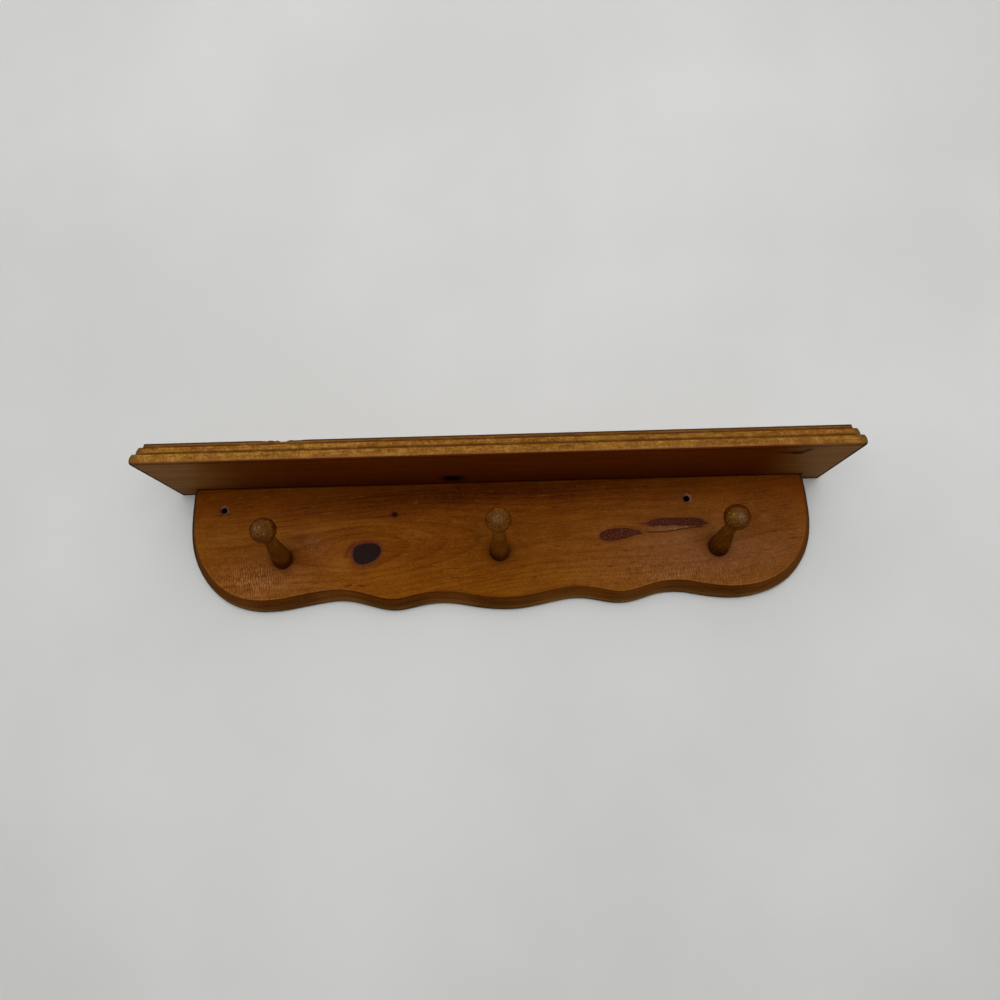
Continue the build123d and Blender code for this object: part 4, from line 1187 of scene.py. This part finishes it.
    # knots on the underside
    big = k.add(k.attr("knot_big"), k.mul(k.add(ragged, -0.5), 0.35))
    wood = k.mix(k.range(big, 1.0, 2.2, 0.7, 0.0), wood, (0.026, 0.0045, 0.0008))
    wood = k.mix(k.range(big, 0.85, 1.1, 1.0, 0.0), wood, (0.0060, 0.0030, 0.0016))
    sp = k.add(k.attr("spike_a"), k.mul(k.add(ragged, -0.5), 1.2))
    wood = k.mix(k.range(sp, 0.0, 4.0, 0.5, 0.0), wood, (0.030, 0.0060, 0.0010))
    wood = k.mix(k.mul(k.range(sp, -0.4, 0.5, 1.0, 0.0), 0.94), wood, (0.0120, 0.0035, 0.0014))
    wood = k.mix(k.mul(k.range(k.attr("dot"), -0.4, 0.6, 1.0, 0.0), 0.8), wood, (0.020, 0.0060, 0.0020))
    # along the joint with the back board the underside is near-black: stain and glue, and painted shade in the crease
    under = k.range(up, 0.05, 0.15, 1.0, 0.0)
    near = k.mul(under, k.mul(k.range(py, -0.0212, -0.0194, 0.0, 1.0), k.range(k.math("ABSOLUTE", px), 0.2650, 0.2664, 1.0, 0.0)))
    wood = k.mix(k.mul(near, 0.85), wood, (0.008, 0.0020, 0.0008))
    # top: rubbed paler where things stood, faint ring mark; back edge bare
    top = k.range(up, 18.90, 19.0, 0.0, 1.0)
    paler_spots = k.range(k.noise(k.stretch(p, 0.5, 1, 1), 26.0, 4.0, 0.6), 0.50, 0.72, 0.0, 0.35)
    wood = k.mix(k.mul(top, paler_spots), wood, (0.260, 0.120, 0.034))
    back = k.range(py, -0.0006, -0.0001, 0.0, 1.0)
    bare = k.ramp(k.add(tone, 0.12), [(0.0, (0.105, 0.052, 0.020)), (0.5, (0.290, 0.170, 0.080)), (1.0, (0.430, 0.290, 0.150))])
    bleed = k.range(k.add(k.noise(p, 60.0, 4.0, 0.6), k.mul(k.range(up, 1.5, 9.0, 0.5, 0.0), 1.0), k.mul(k.range(up, 10.0, 17.5, 0.0, 0.5), 1.0)), 0.62, 0.95, 0.0, 0.8)
    bare = k.mix(bleed, bare, (0.110, 0.042, 0.009))
    colour = k.mix(back, wood, bare)
    rough = k.add(0.42, k.mul(late, -0.05), k.mul(k.add(blotch, -0.5), 0.18), k.mul(k.add(fibres, -0.5), 0.10))
    rough = k.add(rough, k.mul(back, 0.30), k.mul(endg, 0.12), k.mul(chip, 0.2), k.mul(underside, 0.34))
    height = k.add(k.mul(fibres, 0.55), k.mul(late, 0.35), k.mul(streaks, 0.3), k.mul(k.mul(endg, fine), 0.8), k.mul(k.mul(chip, ragged), 1.5))
    return k.finish(colour, rough, height, 0.00009, 0.8, specular=0.0, coat=0.10, coat_rough=0.34)


def peg_wood():
    k = Nodes("peg_hardwood")
    p = k.place()
    g = k.attr("grain", vector=True)
    along, ring, around = k.split(g)
    s, r = k.attr("along"), k.attr("disc")
    slow = k.noise(k.stretch(g, 30, 150, 150), 1.0, 2.0)
    phase = k.add(k.math("DIVIDE", k.add(ring, k.mul(slow, 0.0012)), 0.0017), 0.0)
    late = k.ramp(k.math("FRACT", phase), [(0.0, 0.0), (0.5, 0.15), (0.85, 1.0), (1.0, 0.0)], "EASE")
    fibres = k.noise(k.stretch(g, 130, 2600, 2600), 1.0, 3.0, 0.6)
    pores = k.noise(k.stretch(g, 260, 5200, 5200), 1.0, 2.0, 0.6)
    blotch = k.noise(p, 150.0, 3.0, 0.55)
    tone = k.add(0.55, k.mul(late, -0.16), k.mul(k.add(fibres, -0.5), 0.45), k.mul(k.add(blotch, -0.5), 0.50))
    wood = k.ramp(tone, [(0.0, (0.044, 0.0090, 0.0008)), (0.4, (0.115, 0.0300, 0.0022)),
                         (0.7, (0.195, 0.0620, 0.0065)), (1.0, (0.290, 0.1200, 0.0200))])
    wood = k.mix(k.range(s, 28.0, 44.0, 0.0, 1.0), wood, k.mix(1.0, wood, (1.30, 1.42, 1.8), "MULTIPLY"))
    wood = k.mix(k.attr("honey"), wood, k.mix(1.0, wood, (1.28, 1.40, 1.4), "MULTIPLY"))
    knob = k.range(s, 53.0, 55.5, 0.0, 1.0)
    wood = k.mix(k.mul(knob, k.range(k.noise(p, 330.0, 3.0, 0.65), 0.38, 0.62, 1.0, 0.25)), wood, k.mix(1.0, wood, (0.66, 0.52, 0.5), "MULTIPLY"))
    # end grain on the head: paler, with open pores and the rings showing as lines
    uneven = k.mul(k.add(k.noise(p, 240.0, 3.0, 0.65), -0.5), 5.0)
    head = k.mul(k.range(s, 59.5, 63.0, 0.0, 1.0), k.range(k.add(r, uneven), 8.2, 6.9, 0.0, 1.0))
    speck = k.noise(p, 850.0, 3.0, 0.75)
    endcol = k.mix(k.range(speck, 0.40, 0.62, 0.0, 1.0), (0.064, 0.0215, 0.0028), (0.150, 0.0620, 0.0130))
    endcol = k.mix(k.mul(late, 0.70), endcol, (0.048, 0.0140, 0.0020))
    wood = k.mix(k.mul(head, 0.84), wood, endcol)
    wood = k.mix(k.mul(k.attr("moss"), 0.55), wood, (0.175, 0.1080, 0.0080))
    # painted highlight: a pale purple-grey spot on each head
    wood = k.mix(k.mul(k.attr("mark_level"), k.range(speck, 0.38, 0.60, 0.15, 0.85)), wood, (0.300, 0.1850, 0.1150))
    # darker at the foot and in the neck under the head; round the head's widest part, painted shade where it turns
    # away, painted lighter on its lower side
    dark = k.add(k.range(s, 1.0, 18.0, 0.85, 0.0), k.range(k.math("ABSOLUTE", k.add(s, -52.2)), 0.3, 2.2, 0.45, 0.0))
    dark = k.mul(dark, k.range(blotch, 0.30, 0.60, 1.0, 0.75))
    wood = k.mix(dark, wood, (0.048, 0.0060, 0.0005))
    rimdark = k.mul(k.mul(k.range(k.add(r, uneven), 7.4, 9.0, 0.0, 0.84), k.range(s, 53.0, 55.5, 0.0, 1.0)), k.range(k.noise(p, 420.0, 2.0), 0.35, 0.6, 0.55, 1.0))
    rimdark = k.mul(rimdark, k.range(k.attr("honey"), 0.2, 1.0, 1.0, 0.66))
    wood = k.mix(rimdark, wood, k.mix(k.attr("lower"), (0.040, 0.0080, 0.0006), (0.120, 0.0310, 0.0026)))
    # painted shade: the side of the head that looks up is painted darker
    wood = k.mix(k.mul(knob, k.add(1.0, k.mul(k.attr("lower"), -1.0))), wood, k.mix(1.0, wood, (0.80, 0.80, 0.80), "MULTIPLY"))
    # tiny bare chips, which also stand in for painted glints, more of them low on the left of the head
    chips_and_glints = k.noise(p, 640.0, 2.0, 0.6)
    chips_and_glints = k.mul(k.range(k.add(chips_and_glints, k.mul(k.attr("chip_and_glint_spot"), 0.05)), 0.685, 0.715, 0.0, 1.0), k.range(s, 20.0, 40.0, 0.35, 1.0))
    wood = k.mix(k.mul(chips_and_glints, 0.66), wood, (0.330, 0.2000, 0.0600))
    bare = k.range(k.split(p)[1], -0.01895, -0.01880, 0.0, 1.0)
    wood = k.mix(bare, wood, k.mix(k.range(fibres, 0.3, 0.7, 0.0, 1.0), (0.30, 0.17, 0.08), (0.46, 0.30, 0.16)))
    rough = k.add(0.46, k.mul(k.add(blotch, -0.5), 0.22), k.mul(head, 0.06), k.mul(bare, 0.25))
    lathe = k.math("SINE", k.mul(s, 9.0))
    height = k.add(k.mul(fibres, 0.5), k.mul(pores, 0.3), k.mul(k.mul(head, speck), 0.9), k.mul(lathe, 0.05))
    return k.finish(wood, rough, height, 0.00010, 0.8, specular=0.0, coat=0.012, coat_rough=0.24)


def plug_wood():
    k = Nodes("plug_pine")
    p = k.place()
    g = k.stretch(p, 1.0, 1.0, 1.0)
    fibres = k.noise(k.stretch(g, 60, 1500, 1500), 1.0, 3.0, 0.6)
    streaks = k.noise(k.stretch(g, 14, 420, 420), 1.0, 2.0, 0.5)
    tone = k.add(0.52, k.mul(k.add(fibres, -0.5), 0.5), k.mul(k.add(streaks, -0.5), 0.5))
    wood = k.ramp(tone, [(0.0, (0.030, 0.0075, 0.0010)), (0.5, (0.112, 0.0370, 0.0045)), (1.0, (0.240, 0.1000, 0.0200))])
    rough = k.add(0.44, k.mul(k.add(fibres, -0.5), 0.12))
    return k.finish(wood, rough, k.add(fibres, k.mul(streaks, 0.5)), 0.00008, 0.8, specular=0.0, coat=0.10, coat_rough=0.30)


def screw_steel():
    k = Nodes("screw_steel")
    p = k.place()
    n = k.noise(p, 700.0, 4.0, 0.6)
    colour = k.mix(k.range(n, 0.3, 0.7, 0.0, 1.0), (0.42, 0.38, 0.30), (0.62, 0.60, 0.55))
    rough = k.range(n, 0.3, 0.8, 0.28, 0.55)
    return k.finish(colour, rough, n, 0.00003, 0.5, metallic=1.0)


# ------------------------------------------------------------------ assembly
board_mat, shelf_mat, peg_mat = pine_board(), pine_shelf(), peg_wood()

me = board_mesh()
board_wood(me)
put(me, "back_board_wood", "back_board", board_mat)
me = shelf_mesh()
shelf_wood(me)
put(me, "shelf_board_wood", "shelf_board", shelf_mat, 30)
for i, (name, (x, z, tilt, turn)) in enumerate(PEGS.items()):
    me = peg_mesh(name, x, z, tilt, turn, 71 + i)
    put(me, name + "_turned", name, peg_mat)


def dress(node, material):
    me = nodes[node].data
    me.materials.clear()
    me.materials.append(material)


dress("screw_plugs", plug_wood())
dress("shelf_screws", screw_steel())


# ------------------------------------------------------------------ floor, lights, camera
def floor():
    """The object lies on its back on a pale floor: a plane just inside the boards' backs."""
    me = bpy.data.meshes.new("floor_plane")
    s, y = 6.0, -0.0002
    me.from_pydata([(-s, y, -s), (s, y, -s), (s, y, s), (-s, y, s)], [], [(0, 1, 2, 3)])
    ob = bpy.data.objects.new("floor_plane", me)
    bpy.context.scene.collection.objects.link(ob)
    k = Nodes("pale_floor")
    n = k.noise(k.place(), 3.0, 4.0, 0.5)
    colour = k.mix(k.range(n, 0.35, 0.7, 0.0, 1.0), (0.60, 0.605, 0.59), (0.655, 0.66, 0.65))
    s = k.new("ShaderNodeBsdfPrincipled")
    k.set(s.inputs["Base Color"], colour)
    s.inputs["Roughness"].default_value = 0.5
    s.inputs["Specular IOR Level"].default_value = 0.3
    # seen from behind the wall plane it isn't there, so the back can be looked at
    clear = k.new("ShaderNodeBsdfTransparent")
    side = k.new("ShaderNodeNewGeometry").outputs["Backfacing"]
    m = k.new("ShaderNodeMixShader")
    k.t.links.new(side, m.inputs[0])
    k.t.links.new(s.outputs[0], m.inputs[1])
    k.t.links.new(clear.outputs[0], m.inputs[2])
    o = k.new("ShaderNodeOutputMaterial")
    k.t.links.new(m.outputs[0], o.inputs[0])
    me.materials.append(k.mat)
    return ob


def area(name, at, to, size, size_y, power, colour=(1, 1, 1)):
    l = bpy.data.lights.new(name, "AREA")
    l.shape = "RECTANGLE"
    l.size, l.size_y = size, size_y
    l.energy = power
    l.color = colour
    o = bpy.data.objects.new(name, l)
    o.location = at
    d = Vector(to) - Vector(at)
    o.rotation_mode = "QUATERNION"
    o.rotation_quaternion = d.to_track_quat("-Z", "Y")
    bpy.context.scene.collection.objects.link(o)
    return o


floor()
ceiling = area("ceiling", (0.0, -2.6, 0.9), (0, 0, 0), 5.0, 4.0, 97)
ceiling.visible_glossy = False
area("lamp_left", (-0.86, -2.2, 0.05), (0, 0, 0), 0.35, 0.9, 5.0)
area("lamp_right", (0.66, -2.2, 0.08), (0, 0, 0), 0.55, 0.9, 8.0)
area("window_above", (0.0, -0.9, 2.2), (0, 0, 0), 2.4, 1.2, 9)
area("behind_left", (-1.3, 1.8, 0.7), (0, 0, 0), 1.2, 1.2, 18)
area("behind_right", (1.3, 1.8, 0.3), (0, 0, 0), 1.2, 1.2, 14)

world = bpy.data.worlds.new("studio")
bpy.context.scene.world = world
world.use_nodes = True
wt = world.node_tree
wt.nodes.clear()
seen = wt.nodes.new("ShaderNodeBackground")
seen.inputs[0].default_value = (0.62, 0.625, 0.62, 1)
felt = wt.nodes.new("ShaderNodeBackground")
felt.inputs[0].default_value = (0.05, 0.05, 0.05, 1)
path = wt.nodes.new("ShaderNodeLightPath")
mixer = wt.nodes.new("ShaderNodeMixShader")
wo = wt.nodes.new("ShaderNodeOutputWorld")
wt.links.new(path.outputs["Is Camera Ray"], mixer.inputs[0])
wt.links.new(felt.outputs[0], mixer.inputs[1])
wt.links.new(seen.outputs[0], mixer.inputs[2])
wt.links.new(mixer.outputs[0], wo.inputs[0])

cam_data = bpy.data.cameras.new("photo_camera")
cam_data.sensor_width = 36.0
cam_data.lens = 27.9645
cam_data.clip_start, cam_data.clip_end = 0.01, 50
cam = bpy.data.objects.new("photo_camera", cam_data)
right = Vector((0.99954676, 0.01952751, -0.02291193))
upward = Vector((0.02676822, -0.22826781, 0.97323033))
backward = Vector((0.01377471, -0.97340253, -0.22868706))
m = Matrix.Identity(4)
for i in range(3):
    m[i][0], m[i][1], m[i][2] = right[i], upward[i], backward[i]
m[0][3], m[1][3], m[2][3] = 0.010540, -0.676633, -0.151602
cam.matrix_world = m
bpy.context.scene.collection.objects.link(cam)
bpy.context.scene.camera = cam

view = bpy.context.scene.view_settings
view.view_transform = "Standard"
view.look = "None"
view.exposure = 0.0
view.gamma = 1.0
